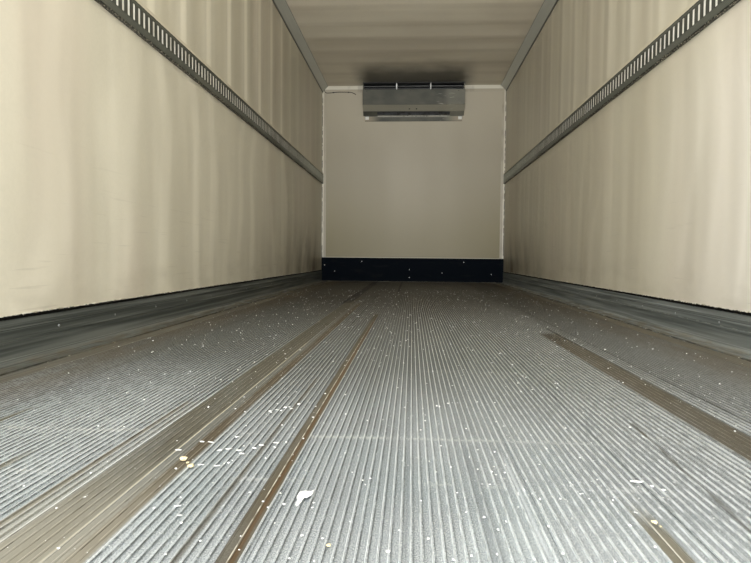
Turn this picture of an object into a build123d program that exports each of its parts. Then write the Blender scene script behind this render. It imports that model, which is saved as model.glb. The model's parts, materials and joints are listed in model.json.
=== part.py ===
"""Insulated truck box body with a nose-mounted refrigeration unit and two rear doors.

Millimetres. +Y is the direction of travel, +X is the right side, +Z is up. The origin is
the middle of the footprint, on the surface that the subframe runners stand on.
"""

from build123d import *
import os
from math import cos, pi, sin, sqrt

os.makedirs("parts", exist_ok=True)

# Load space: clear width, height over the floor ribs, and length from sill to front wall
inner_width = 2460
inner_height = 2630
inner_length = 7800

# Insulated panels and the metal profile that wraps their outer edges
side_wall_thickness = 66
roof_thickness = 85
front_wall_thickness = 100
floor_thickness = 105
profile_thickness = 4

# Under the floor
runner_height = 120
runner_width = 70
runner_centre = 430
runner_wall = 6
cross_height = 50
cross_width = 60
cross_wall = 5
cross_count = 14
cross_end_inset = 60
cross_side_inset = 110

# Ribbed floor planks
plank_width = 180
ribs_per_plank = 14
deck_base = 4
rib_height = 3
rib_top_width = 3
rib_foot_width = 4.5
joint_width = 2
joint_depth = 1.5

# Rear frame
post_depth = 110
header_rise = 12

# Inside trim
kick_height = 143.5
kick_foot = 80
kick_thickness = 5
kick_bead = 2
front_kick_height = 320
front_kick_thickness = 6
rail_bottom = 1319
rail_height = 145
rail_depth = 20
rail_face = 3
slot_width = 20
slot_height = 68
slot_pitch = 50
slot_margin = 3
cove_wall_leg = 85
cove_roof_leg = 75
cove_lip = 7
trim_width = 55
trim_top_height = 88
trim_thickness = 3

# Evaporator on the front wall
evaporator_width = 1340
evaporator_depth = 160
evaporator_sheet = 3
outlet_height = 94
cover_height = 196
slope_height = 66
return_height = 48
flange_height = 72
opening_margin = 50
opening_height = 400
opening_drop = 45

# Sensor cable under the ceiling, left of the evaporator
cable_diameter = 8
cable_sides = 12
clip_width = 14

# Rear doors
door_thickness = 85
door_proud = 10
door_gap = 12
seal_depth = 6
seal_width = 22
hinge_reach = 40
hinge_edge = 14
pin_radius = 8
pin_clearance = 0.3
strap_length = 330
strap_height = 48
strap_thickness = 8
knuckle_height = 60
ear_height = 22
ear_gap = 0.5
hinge_count = 3
hinge_low = 250
hinge_high = 220
centre_gap = 10
lock_bar_radius = 11
lock_bar_edge = 145
lock_channel_width = 44
lock_channel_depth = 7
lock_tongue = 15
lock_tongue_reach = 45
lever_drop = 210
lock_guide_ends = (150, 180)

# Refrigeration unit outside the front wall
unit_width = 1860
unit_height = 760
unit_depth = 600
cowl_corner = 45
cowl_waist = 70
cowl_droop = 30
cowl_lift = 50
unit_below_roof = 40
cowl_thickness = 5
fan_centre = 430
fan_opening_radius = 165
fan_tip_gap = 13
fan_hub_radius = 50
fan_blade_count = 5
fan_blade_chord = 80
fan_blade_pitch = 26
fan_blade_camber = 7
fan_blade_thickness = 3
motor_radius = 42
shaft_radius = 9

# Rubber buffers on the sill
buffer_depth = 80

# Worked out from the driving sizes
half_inner = inner_width / 2
half_outer = half_inner + side_wall_thickness + profile_thickness
panel_outer = half_outer - profile_thickness
overall_length = buffer_depth + inner_length + front_wall_thickness + unit_depth
rear = -overall_length / 2 + buffer_depth
frame_front = rear + post_depth
bulkhead = rear + inner_length
wall_front = bulkhead + front_wall_thickness
nose = wall_front + unit_depth
panel_bottom = runner_height + cross_height
deck_bottom = panel_bottom + floor_thickness
deck_top = deck_bottom + deck_base
floor = deck_top + rib_height
ceiling = floor + inner_height
roof_top = ceiling + roof_thickness
frame_top = roof_top + header_rise
trim_front = bulkhead - trim_thickness


def section(y):
    """X-Z plane at y. Extruding by a negative amount runs forward from it."""
    return Plane.XZ.offset(-y)


def save(part, name):
    part.label = name
    export_step(part, f"parts/{name}.step")


def save_pair(part, name):
    """The right-hand piece as built, and its mirror image for the left side."""
    save(part, f"{name}_right")
    save(mirror(part, about=Plane.YZ), f"{name}_left")


def outline(*points):
    """Closed face through the points, made inside the sketch that calls it."""
    with BuildLine() as edge:
        Polyline(*points, close=True)
    make_face(edge.edges())


# Subframe runners: two box-section beams that the body stands on
runner_length = inner_length + front_wall_thickness - 2 * cross_end_inset
with BuildPart() as subframe_runners:
    with BuildSketch(section(rear + cross_end_inset)):
        with Locations((-runner_centre, runner_height / 2), (runner_centre, runner_height / 2)):
            RectangleRounded(runner_width, runner_height, 2 * runner_wall)
            Rectangle(
                runner_width - 2 * runner_wall, runner_height - 2 * runner_wall, mode=Mode.SUBTRACT
            )
    extrude(amount=-runner_length)
save(subframe_runners.part, "subframe_runners")

# Cross members: channels between the runners and the floor panel
cross_length = 2 * (half_outer - cross_side_inset)
cross_first = frame_front + cross_width
cross_last = wall_front - cross_end_inset - cross_width
cross_pitch = (cross_last - cross_first) / (cross_count - 1)
with BuildPart() as cross_members:
    with BuildSketch(Plane.YZ.offset(-cross_length / 2)):
        for i in range(cross_count):
            with Locations((cross_first + i * cross_pitch, runner_height + cross_height / 2)):
                Rectangle(cross_width, cross_height)
                with Locations((cross_wall, 0)):
                    Rectangle(cross_width, cross_height - 2 * cross_wall, mode=Mode.SUBTRACT)
    extrude(amount=cross_length)
save(cross_members.part, "cross_members")

# Mounting brackets: angle pieces on the runners' outer sides, bolted down to a chassis
bracket_length = 160
bracket_thickness = 10
bracket_leg = 75
bracket_rise = 90
bracket_lift = 20
bracket_hole_radius = 7
bracket_hole_pitch = 100
bracket_hole_out = 45
bracket_count = 4
bracket_first = 900
bracket_last = inner_length - 600
bracket_pitch = (bracket_last - bracket_first) / (bracket_count - 1)
bracket_places = [bracket_first + i * bracket_pitch for i in range(bracket_count)]
bracket_x = runner_centre + runner_width / 2
with BuildPart() as brackets_right:
    with BuildSketch(section(rear + bracket_places[0] - bracket_length / 2)):
        outline(
            (bracket_x, bracket_lift),
            (bracket_x + bracket_leg, bracket_lift),
            (bracket_x + bracket_leg, bracket_lift + bracket_thickness),
            (bracket_x + bracket_thickness, bracket_lift + bracket_thickness),
            (bracket_x + bracket_thickness, bracket_rise),
            (bracket_x, bracket_rise),
        )
    extrude(amount=-bracket_length)
    with BuildSketch(Plane.XY.offset(bracket_lift)):
        with Locations((bracket_x + bracket_hole_out, rear + bracket_places[0])):
            with GridLocations(1, bracket_hole_pitch, 1, 2):
                Circle(bracket_hole_radius)
    extrude(amount=bracket_thickness, mode=Mode.SUBTRACT)
with BuildPart() as mounting_brackets:
    for place in bracket_places:
        with Locations((0, place - bracket_places[0], 0)):
            add(brackets_right.part)
            add(mirror(brackets_right.part, about=Plane.YZ))
save(mounting_brackets.part, "mounting_brackets")

# Floor panel: insulated sandwich between the walls, behind the front wall
with BuildPart() as floor_panel:
    with BuildSketch(section(frame_front)):
        with Locations((0, panel_bottom + floor_thickness / 2)):
            Rectangle(inner_width, floor_thickness)
    extrude(amount=-(bulkhead - frame_front))
save(floor_panel.part, "floor_panel")

# Floor deck: ribbed planks locked edge to edge, with a plain strip along each wall that is
# at least as wide as the foot of the kick plate
plank_count = int((inner_width - 2 * kick_foot) // plank_width)
rib_pitch = plank_width / ribs_per_plank
deck_edge = plank_count * plank_width / 2
deck_points = [(-half_inner, deck_bottom), (-half_inner, deck_top)]
for plank in range(plank_count):
    joint = -deck_edge + plank * plank_width
    deck_points += [
        (joint - joint_width / 2, deck_top),
        (joint - joint_width / 2, deck_top - joint_depth),
        (joint + joint_width / 2, deck_top - joint_depth),
        (joint + joint_width / 2, deck_top),
    ]
    for rib in range(ribs_per_plank):
        middle = joint + (rib + 0.5) * rib_pitch
        deck_points += [
            (middle - rib_foot_width / 2, deck_top),
            (middle - rib_top_width / 2, floor),
            (middle + rib_top_width / 2, floor),
            (middle + rib_foot_width / 2, deck_top),
        ]
deck_points += [(half_inner, deck_top), (half_inner, deck_bottom)]
with BuildPart() as floor_deck:
    with BuildSketch(section(frame_front)):
        outline(*deck_points)
    extrude(amount=-(bulkhead - frame_front))
save(floor_deck.part, "floor_deck")

# Side walls: insulated panels from the floor's underside to the roof
with BuildPart() as side_wall:
    with BuildSketch(section(frame_front)):
        with Locations((half_inner + side_wall_thickness / 2, (panel_bottom + ceiling) / 2)):
            Rectangle(side_wall_thickness, ceiling - panel_bottom)
    extrude(amount=-(bulkhead - frame_front))
save_pair(side_wall.part, "side_wall")

# Front wall: insulated bulkhead with the cut-out that the evaporator fills
opening_width = evaporator_width - 2 * opening_margin
with BuildPart() as front_wall:
    with BuildSketch(section(bulkhead)):
        with Locations((0, (panel_bottom + ceiling) / 2)):
            Rectangle(inner_width, ceiling - panel_bottom)
        with Locations((0, ceiling - opening_drop - opening_height / 2)):
            Rectangle(opening_width, opening_height, mode=Mode.SUBTRACT)
    extrude(amount=-front_wall_thickness)
save(front_wall.part, "front_wall")

# Front corners: rounded posts that close the ends of the side walls
corner_radius = side_wall_thickness
with BuildPart() as front_corner:
    with BuildSketch(Plane.XY.offset(panel_bottom)):
        with BuildLine():
            Line((half_inner, bulkhead), (panel_outer, bulkhead))
            Line((panel_outer, bulkhead), (panel_outer, wall_front - corner_radius))
            RadiusArc(
                (panel_outer, wall_front - corner_radius), (half_inner, wall_front), -corner_radius
            )
            Line((half_inner, wall_front), (half_inner, bulkhead))
        make_face()
    extrude(amount=ceiling - panel_bottom)
save_pair(front_corner.part, "front_corner")

# Roof panel: one insulated sheet, its front corners rounded like the posts below
roof_bevel = 25
roof_corner_radius = corner_radius - 1  # clear of the posts' own curve
with BuildPart() as roof_panel:
    with BuildSketch(Plane.XY.offset(ceiling)):
        with Locations((0, (frame_front + wall_front) / 2)):
            Rectangle(2 * panel_outer, wall_front - frame_front)
    extrude(amount=roof_thickness)
    fillet(roof_panel.edges().filter_by(Axis.Z).group_by(Axis.Y)[-1], roof_corner_radius)
    chamfer(roof_panel.faces().sort_by(Axis.Z)[-1].edges().group_by(Axis.Y)[-1], roof_bevel)
save(roof_panel.part, "roof_panel")

# Roof edges: aluminium angles over the joint of wall and roof
roof_edge_drop = 60
roof_edge_leg = 70
edge_end_gap = 40
edge_end = wall_front - corner_radius - edge_end_gap
with BuildPart() as roof_edge:
    with BuildSketch(section(frame_front)):
        outline(
            (panel_outer, ceiling - roof_edge_drop),
            (half_outer, ceiling - roof_edge_drop),
            (half_outer, roof_top + profile_thickness),
            (half_outer - roof_edge_leg, roof_top + profile_thickness),
            (half_outer - roof_edge_leg, roof_top),
            (panel_outer, roof_top),
        )
    extrude(amount=-(edge_end - frame_front))
    outer_edge = roof_edge.edges().filter_by(Axis.Y).sort_by(Axis.X)[-2:].sort_by(Axis.Z)[-1]
    fillet(outer_edge, profile_thickness - 1)
save_pair(roof_edge.part, "roof_edge")

# Bottom rails: aluminium angles round the lower edge of each side wall
bottom_rail_rise = 95
bottom_rail_leg = 80
with BuildPart() as bottom_rail:
    with BuildSketch(section(frame_front)):
        outline(
            (half_outer - bottom_rail_leg, panel_bottom - profile_thickness),
            (half_outer, panel_bottom - profile_thickness),
            (half_outer, panel_bottom + bottom_rail_rise),
            (panel_outer, panel_bottom + bottom_rail_rise),
            (panel_outer, panel_bottom),
            (half_outer - bottom_rail_leg, panel_bottom),
        )
    extrude(amount=-(edge_end - frame_front))
save_pair(bottom_rail.part, "bottom_rail")

# Front bottom profile: the same angle under the front wall
with BuildPart() as front_bottom_profile:
    with BuildSketch(Plane.YZ.offset(-half_inner)):
        outline(
            (wall_front - bottom_rail_leg, panel_bottom - profile_thickness),
            (wall_front + profile_thickness, panel_bottom - profile_thickness),
            (wall_front + profile_thickness, panel_bottom + bottom_rail_rise),
            (wall_front, panel_bottom + bottom_rail_rise),
            (wall_front, panel_bottom),
            (wall_front - bottom_rail_leg, panel_bottom),
        )
    extrude(amount=inner_width)
save(front_bottom_profile.part, "front_bottom_profile")

# Rear frame: welded stainless posts, header and sill round the door opening
frame_corner = 10
with BuildPart() as rear_frame:
    with BuildSketch(section(rear)):
        with Locations((0, (frame_top + runner_height) / 2)):
            Rectangle(2 * half_outer, frame_top - runner_height)
        with Locations((0, (floor + ceiling) / 2)):
            Rectangle(inner_width, inner_height, mode=Mode.SUBTRACT)
    extrude(amount=-post_depth)
    fillet(rear_frame.edges().filter_by(Axis.Y).group_by(Axis.Z)[-1], frame_corner)
save(rear_frame.part, "rear_frame")

# Rain gutter: a lip over the door opening
gutter_inset = 20
gutter_profile = [  # distance out from the frame, drop below its top
    (0, 30),
    (3, 30),
    (3, 12),
    (36, 18),
    (36, 6),
    (33, 6),
    (33, 14),
    (0, 8),
]
with BuildPart() as rain_gutter:
    with BuildSketch(Plane.YZ.offset(-half_outer + gutter_inset)):
        outline(*[(rear - out, frame_top - drop) for out, drop in gutter_profile])
    extrude(amount=2 * (half_outer - gutter_inset))
save(rain_gutter.part, "rain_gutter")

# Rear buffers: rubber blocks at the ends of the sill
buffer_width = 110
buffer_height = 130
buffer_centre = half_outer - 150
buffer_level = runner_height + 75
buffer_bevel = 15
with BuildPart() as rear_buffers:
    with BuildSketch(section(rear - buffer_depth)):
        with Locations((-buffer_centre, buffer_level), (buffer_centre, buffer_level)):
            Rectangle(buffer_width, buffer_height)
    extrude(amount=-buffer_depth)
    chamfer(rear_buffers.faces().group_by(Axis.Y)[0].edges(), buffer_bevel)
save(rear_buffers.part, "rear_buffers")

# Kick plates: angle profiles along the foot of each side wall, with two beads
bead_drops = [(27, 4), (70, 6)]  # middle of the bead below the top edge, bead width
kick_cove = 10
kick_lip = 4
kick_edge = 1
kick_floor = deck_top
kick_top = floor + kick_height
kick_face = half_inner - kick_thickness
kick_points = [
    (half_inner, kick_floor),
    (half_inner - kick_foot, kick_floor),
    (half_inner - kick_foot, kick_floor + kick_thickness),
    (kick_face - kick_cove, kick_floor + kick_thickness),
    (kick_face, kick_floor + kick_thickness + kick_cove),
]
for drop, width in reversed(bead_drops):
    kick_points += [
        (kick_face, kick_top - drop - width / 2 - kick_bead),
        (kick_face - kick_bead, kick_top - drop - width / 2),
        (kick_face - kick_bead, kick_top - drop + width / 2),
        (kick_face, kick_top - drop + width / 2 + kick_bead),
    ]
kick_points += [
    (kick_face, kick_top - kick_lip),
    (half_inner - kick_edge, kick_top),
    (half_inner, kick_top),
]
with BuildPart() as kick_plate:
    with BuildSketch(section(frame_front)):
        outline(*kick_points)
    extrude(amount=-(bulkhead - front_kick_thickness - frame_front))
save_pair(kick_plate.part, "kick_plate")

# Front kick plate: black sheet across the foot of the front wall
with BuildPart() as front_kick_plate:
    with BuildSketch(section(bulkhead - front_kick_thickness)):
        with Locations((0, floor + front_kick_height / 2)):
            Rectangle(inner_width, front_kick_height)
    extrude(amount=-front_kick_thickness)
save(front_kick_plate.part, "front_kick_plate")

# Load rails: slotted channels screwed to the side walls
rail_middle = floor + rail_bottom + rail_height / 2
rail_length = trim_front - frame_front
rail_back = half_inner - rail_depth
rail_channel_height = slot_height + 2 * slot_margin
rail_bevel = 3
slot_count = int((rail_length - slot_pitch) // slot_pitch)
with BuildPart() as load_rail:
    with BuildSketch(section(frame_front)):
        with Locations((half_inner - rail_depth / 2, rail_middle)):
            Rectangle(rail_depth, rail_height)
        with Locations((half_inner - (rail_depth - rail_face) / 2, rail_middle)):
            Rectangle(rail_depth - rail_face, rail_channel_height, mode=Mode.SUBTRACT)
    extrude(amount=-rail_length)
    long_edges = load_rail.edges().filter_by(Axis.Y).group_by(Axis.X)[0]
    chamfer(long_edges, rail_bevel)
    with BuildSketch(Plane.YZ.offset(rail_back)):
        with Locations((frame_front + rail_length / 2, rail_middle)):
            with GridLocations(slot_pitch, 1, slot_count, 1):
                Rectangle(slot_width, slot_height)
    extrude(amount=rail_face, mode=Mode.SUBTRACT)
save_pair(load_rail.part, "load_rail")

# Ceiling coves: hollow-faced profiles in the corner of wall and ceiling. The left one is
# bored from below for the sensor cable.
cable_standoff = 3
cable_y = trim_front - cable_diameter / 2 - cable_standoff
cable_start_out = 30
cable_start = -half_inner + cable_start_out
cable_start_drop = 42
with BuildPart() as ceiling_cove:
    with BuildSketch(section(frame_front)):
        with BuildLine():
            Polyline(
                (half_inner - cove_lip, ceiling - cove_wall_leg),
                (half_inner, ceiling - cove_wall_leg),
                (half_inner, ceiling),
                (half_inner - cove_roof_leg, ceiling),
                (half_inner - cove_roof_leg, ceiling - cove_lip),
            )
            RadiusArc(
                (half_inner - cove_roof_leg, ceiling - cove_lip),
                (half_inner - cove_lip, ceiling - cove_wall_leg),
                3 * cove_wall_leg,
            )
        make_face()
    extrude(amount=-(trim_front - frame_front))
save(ceiling_cove.part, "ceiling_cove_right")
with BuildPart() as cove_left:
    add(mirror(ceiling_cove.part, about=Plane.YZ))
    with BuildSketch(Plane.XY.offset(ceiling - cove_wall_leg)):
        with Locations((cable_start, cable_y)):
            Circle(cable_diameter / 2 + pin_clearance)
    extrude(amount=cove_wall_leg - cable_start_drop + pin_clearance, mode=Mode.SUBTRACT)
save(cove_left.part, "ceiling_cove_left")

# Bulkhead trim: flat strips up the corners and under the ceiling
trim_foot = floor + front_kick_height
with BuildPart() as bulkhead_trim:
    with BuildSketch(section(trim_front)):
        outline(
            (-half_inner, trim_foot),
            (-half_inner, ceiling),
            (half_inner, ceiling),
            (half_inner, trim_foot),
            (half_inner - trim_width, trim_foot),
            (half_inner - trim_width, ceiling - trim_top_height),
            (-half_inner + trim_width, ceiling - trim_top_height),
            (-half_inner + trim_width, trim_foot),
        )
    extrude(amount=-trim_thickness)
save(bulkhead_trim.part, "bulkhead_trim")

# Evaporator housing: bent sheet with an air outlet at the top and a return below
sill_level = ceiling - outlet_height - cover_height
slope_level = sill_level - slope_height
return_level = slope_level - return_height
flange_level = return_level - flange_height
flange_inset = 20
sheet_overcut = 1
slope_depth = 70
return_depth = 26
housing_front = trim_front - evaporator_depth
housing_profile = [  # distance out from the trim, level
    (0, ceiling),
    (evaporator_depth, ceiling),
    (evaporator_depth, sill_level),
    (slope_depth, slope_level),
    (return_depth, return_level),
    (0, return_level),
]
sheet_profile = [
    (-sheet_overcut, ceiling - evaporator_sheet),
    (evaporator_depth - evaporator_sheet, ceiling - evaporator_sheet),
    (evaporator_depth - evaporator_sheet, sill_level + evaporator_sheet / 2),
    (slope_depth - evaporator_sheet, slope_level + evaporator_sheet / 2),
    (return_depth - evaporator_sheet, return_level + evaporator_sheet),
    (-sheet_overcut, return_level + evaporator_sheet),
]
outlet_side = 12
return_reach = 0.36 * evaporator_width
return_margin = 6
with BuildPart() as evaporator_housing:
    with BuildSketch(Plane.YZ.offset(-evaporator_width / 2)):
        outline(*[(trim_front - out, level) for out, level in housing_profile])
    extrude(amount=evaporator_width)
    with BuildSketch(Plane.YZ.offset(-evaporator_width / 2 + evaporator_sheet)):
        outline(*[(trim_front - out, level) for out, level in sheet_profile])
    extrude(amount=evaporator_width - 2 * evaporator_sheet, mode=Mode.SUBTRACT)
    with BuildSketch(section(housing_front)):
        with Locations((0, ceiling - outlet_side - (outlet_height - outlet_side) / 2)):
            Rectangle(evaporator_width - 2 * outlet_side, outlet_height - outlet_side)
    extrude(amount=-2 * evaporator_sheet, mode=Mode.SUBTRACT)
    with BuildSketch(section(trim_front - slope_depth - sheet_overcut)):
        with Locations((0, (slope_level + return_level) / 2)):
            Rectangle(2 * return_reach, return_height - 2 * return_margin)
    extrude(amount=-slope_depth, mode=Mode.SUBTRACT)
    with BuildSketch(section(trim_front - evaporator_sheet)):
        with Locations((0, (return_level + flange_level) / 2)):
            Rectangle(evaporator_width - 2 * flange_inset, flange_height)
    extrude(amount=-evaporator_sheet)
save(evaporator_housing.part, "evaporator_housing")

# Outlet louvres: two long blades carried by two uprights
louvre_levels = [34, 70]
louvre_chord = 16
louvre_sheet = 3
louvre_tilt = -20
louvre_inset = 14
upright_width = 12
upright_depth = 12
upright_inset = 8
with BuildPart() as evaporator_louvres:
    with BuildSketch(Plane.YZ.offset(-evaporator_width / 2 + evaporator_sheet)):
        for drop in louvre_levels:
            with Locations((housing_front + louvre_inset, ceiling - drop)):
                Rectangle(louvre_chord, louvre_sheet, rotation=louvre_tilt)
    extrude(amount=evaporator_width - 2 * evaporator_sheet)
    with BuildSketch(section(housing_front + upright_inset)):
        upright_height = outlet_height - outlet_side
        for place in (-evaporator_width / 6, evaporator_width / 6):
            with Locations((place, ceiling - outlet_side - upright_height / 2)):
                Rectangle(upright_width, upright_height)
    extrude(amount=-upright_depth)
save(evaporator_louvres.part, "evaporator_louvres")

# Evaporator brackets: angles that hold the lower corners of the housing to its flange
bracket_foot = 44
bracket_lip = 24
bracket_sheet = 4
bracket_length_x = 52
bracket_edge = evaporator_width / 2 - flange_inset
bracket_drop = 4
bracket_head = return_level - bracket_drop
with BuildPart() as evaporator_brackets:
    for low_x in (-bracket_edge, bracket_edge - bracket_length_x):
        with BuildSketch(Plane.YZ.offset(low_x)):
            flange_face = trim_front - evaporator_sheet
            outline(
                (flange_face, bracket_head),
                (flange_face - bracket_lip, bracket_head),
                (flange_face - bracket_lip, bracket_head - bracket_sheet),
                (flange_face - bracket_sheet, bracket_head - bracket_sheet),
                (flange_face - bracket_sheet, bracket_head - bracket_foot),
                (flange_face, bracket_head - bracket_foot),
            )
        extrude(amount=bracket_length_x)
save(evaporator_brackets.part, "evaporator_brackets")

# Evaporator coil: finned block standing in the front wall's cut-out
coil_inset = 6
coil_depth = front_wall_thickness - 20
with BuildPart() as evaporator_coil:
    with BuildSketch(section(bulkhead)):
        with Locations((0, ceiling - opening_drop - opening_height / 2)):
            Rectangle(opening_width, opening_height - 2 * coil_inset)
    extrude(amount=-coil_depth)
save(evaporator_coil.part, "evaporator_coil")

# Refrigeration unit frame: back plate, tray and shelf bent from sheet
unit_top = roof_top - unit_below_roof
unit_bottom = unit_top - unit_height
fan_drop = 70
fan_level = unit_top - cowl_droop - fan_drop - fan_opening_radius
plate_thickness = 10
shelf_thickness = 8
tray_rise = 60
tray_level = unit_bottom + tray_rise
shelf_lip = 5
plate_drop = 30
shelf_level = fan_level - fan_opening_radius
frame_inset = 90
frame_width = unit_width - 2 * frame_inset
tray_inset = 200
tray_reach = unit_depth - tray_inset
condenser_depth = 45
condenser_inset = 90
condenser_front = nose - condenser_inset
with BuildPart() as unit_frame:
    with BuildSketch(Plane.YZ.offset(-frame_width / 2)):
        outline(
            (wall_front, tray_level),
            (wall_front + tray_reach, tray_level),
            (wall_front + tray_reach, tray_level + shelf_thickness),
            (wall_front + plate_thickness, tray_level + shelf_thickness),
            (wall_front + plate_thickness, shelf_level),
            (condenser_front + shelf_lip, shelf_level),
            (condenser_front + shelf_lip, shelf_level + shelf_thickness),
            (wall_front + plate_thickness, shelf_level + shelf_thickness),
            (wall_front + plate_thickness, unit_top - plate_drop),
            (wall_front, unit_top - plate_drop),
        )
    extrude(amount=frame_width)
save(unit_frame.part, "unit_frame")

# Engine with its compressor: one plain block on the tray
engine_width = 960
engine_depth = 320
engine_clearance = 22
engine_x = -60
engine_out = 225
with BuildPart() as unit_engine:
    with BuildSketch(Plane.XY.offset(tray_level + shelf_thickness)):
        with Locations((engine_x, wall_front + engine_out)):
            Rectangle(engine_width, engine_depth)
    extrude(amount=shelf_level - tray_level - shelf_thickness - engine_clearance)
save(unit_engine.part, "unit_engine")

# Condenser coil: finned slab on the shelf
coil_foot = shelf_level + shelf_thickness
coil_head_drop = 62
coil_side_inset = 130
coil_head = unit_top - coil_head_drop
with BuildPart() as condenser_coil:
    with BuildSketch(section(condenser_front - condenser_depth)):
        with Locations((0, (coil_foot + coil_head) / 2)):
            Rectangle(unit_width - 2 * coil_side_inset, coil_head - coil_foot)
    extrude(amount=-condenser_depth)
save(condenser_coil.part, "condenser_coil")

# Cowl: tapered moulded cover with a window for the fans, an air inlet in three parts, vents
# in its cheeks, and joints between its middle panel and the service doors at its sides
window_side = 20
window_rise = 10
window_corner = 30
window_width = 2 * (fan_centre + fan_opening_radius + window_side)
window_height = 2 * (fan_opening_radius + window_rise)
inlet_count = 3
inlet_post = 44
grille_width = window_width
grille_gap = 40
grille_top = fan_level - window_height / 2 - grille_gap
grille_foot = unit_bottom + cowl_lift + 60
grille_height = grille_top - grille_foot
grille_middle = (grille_top + grille_foot) / 2
inlet_pitch = (grille_width + inlet_post) / inlet_count
fan_blade_radius = fan_opening_radius - fan_tip_gap
vent_count = 7
vent_length = 230
vent_height = 12
vent_pitch = 30
vent_middle = (grille_middle + fan_level) / 2
panel_joint_x = window_width / 2 + 60
panel_joint_width = 6
panel_joint_depth = 2.5


def cowl_form(inset):
    """The cowl's side outline crossed with its plan, both drawn in by the inset."""
    front = nose - inset
    side_points = [
        (wall_front, unit_bottom + inset),
        (wall_front, unit_top - inset),
        (front, unit_top - cowl_droop - inset),
        (front, unit_bottom + cowl_lift + inset),
    ]
    half_width = unit_width / 2 - inset
    plan_points = [
        (-half_width, wall_front),
        (-half_width + cowl_waist, front),
        (half_width - cowl_waist, front),
        (half_width, wall_front),
    ]
    with BuildPart() as form:
        with BuildSketch(Plane.YZ.offset(-half_width)) as side_face:
            outline(*side_points)
            fillet(side_face.vertices().group_by(Axis.X)[-1], cowl_corner - inset)
        extrude(amount=2 * half_width)
        with BuildSketch(Plane.XY.offset(unit_bottom)) as plan_face:
            outline(*plan_points)
            fillet(plan_face.vertices().group_by(Axis.Y)[-1], cowl_corner - inset)
        extrude(amount=unit_height, mode=Mode.INTERSECT)
    return form.part


with BuildPart() as cowl_joints:
    with BuildSketch(Plane.XY.offset(unit_bottom)):
        for side in (-1, 1):
            with Locations((side * panel_joint_x, (wall_front + nose) / 2)):
                Rectangle(panel_joint_width, unit_depth)
    extrude(amount=unit_height)
    add(cowl_form(panel_joint_depth), mode=Mode.SUBTRACT)
with BuildPart() as unit_cowl:
    add(cowl_form(0))
    add(cowl_form(cowl_thickness), mode=Mode.SUBTRACT)
    with BuildSketch(section(nose - cowl_thickness)):
        with Locations((0, fan_level)):
            RectangleRounded(window_width, window_height, window_corner)
        with Locations((0, grille_middle)):
            with GridLocations(inlet_pitch, 1, inlet_count, 1):
                Rectangle(inlet_pitch - inlet_post, grille_height)
    extrude(amount=-cowl_thickness, mode=Mode.SUBTRACT)
    with BuildSketch(Plane.YZ.offset(-unit_width / 2)):
        with Locations((wall_front + unit_depth / 2, vent_middle)):
            with GridLocations(1, vent_pitch, 1, vent_count):
                Rectangle(vent_length, vent_height)
    extrude(amount=unit_width, mode=Mode.SUBTRACT)
    add(cowl_joints.part, mode=Mode.SUBTRACT)
save(unit_cowl.part, "unit_cowl")

# Fan motors: round cans on the coil, each with its shaft
motor_length = 26
fan_inset = 40
fan_middle = nose - fan_inset
fan_hub_length = 34
blade_sink = 5
shaft_end_gap = 2
blade_turn = fan_blade_pitch * pi / 180
with BuildPart() as fan_motors:
    with BuildSketch(section(condenser_front)):
        with Locations((-fan_centre, fan_level), (fan_centre, fan_level)):
            Circle(motor_radius)
    extrude(amount=-motor_length)
    with BuildSketch(section(condenser_front + motor_length)):
        with Locations((-fan_centre, fan_level), (fan_centre, fan_level)):
            Circle(shaft_radius)
    extrude(amount=-(fan_middle - condenser_front - motor_length))
save(fan_motors.part, "fan_motors")

# Condenser fans: pitched blades round a hub that is bored for the shaft
with BuildPart() as condenser_fan:
    with BuildSketch(section(fan_middle - fan_hub_length / 2)):
        with Locations((fan_centre, fan_level)):
            Circle(fan_hub_radius)
    extrude(amount=-fan_hub_length)
    for blade in range(fan_blade_count):
        angle = 2 * pi * blade / fan_blade_count
        outward = Vector(cos(angle), 0, sin(angle))
        root_point = Vector(fan_centre, fan_middle, fan_level) + outward * (fan_hub_radius - blade_sink)
        pitched = Vector(sin(angle) * sin(blade_turn), cos(blade_turn), -cos(angle) * sin(blade_turn))
        with BuildSketch(Plane(origin=root_point, x_dir=pitched, z_dir=outward)):
            with BuildLine():
                front_edge = (0, fan_blade_chord / 2)
                back_edge = (0, -fan_blade_chord / 2)
                ThreePointArc(front_edge, (fan_blade_camber, 0), back_edge)
                ThreePointArc(back_edge, (fan_blade_camber + fan_blade_thickness, 0), front_edge)
            make_face()
        extrude(amount=fan_blade_radius - fan_hub_radius + blade_sink)
    with BuildSketch(section(fan_middle - fan_hub_length / 2)):
        with Locations((fan_centre, fan_level)):
            Circle(shaft_radius + pin_clearance)
    extrude(amount=-(fan_hub_length / 2 + shaft_end_gap), mode=Mode.SUBTRACT)
save(condenser_fan.part, "condenser_fan_right")
save(Pos(-2 * fan_centre, 0, 0) * condenser_fan.part, "condenser_fan_left")

# Fan guards: a shroud plate behind the cowl's window, its two round openings crossed by level
# slats and one post
guard_depth = 5
guard_rim = 12
guard_bar = 7
guard_slat_count = 9
guard_pitch = 2 * fan_opening_radius / (guard_slat_count + 1)
with BuildPart() as fan_guards:
    with BuildSketch(section(nose - cowl_thickness - guard_depth)):
        with Locations((0, fan_level)):
            Rectangle(window_width + 2 * guard_rim, window_height + 2 * guard_rim)
        for place in (-fan_centre, fan_centre):
            with Locations((place, fan_level)):
                Circle(fan_opening_radius, mode=Mode.SUBTRACT)
                Rectangle(guard_bar, 2 * fan_opening_radius + guard_bar)
            for slat in range(guard_slat_count):
                rise = (slat - (guard_slat_count - 1) / 2) * guard_pitch
                half_slat = sqrt(fan_opening_radius**2 - rise**2)
                with Locations((place, fan_level + rise)):
                    Rectangle(2 * half_slat + guard_bar, guard_bar)
    extrude(amount=-guard_depth)
save(fan_guards.part, "fan_guards")

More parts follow.
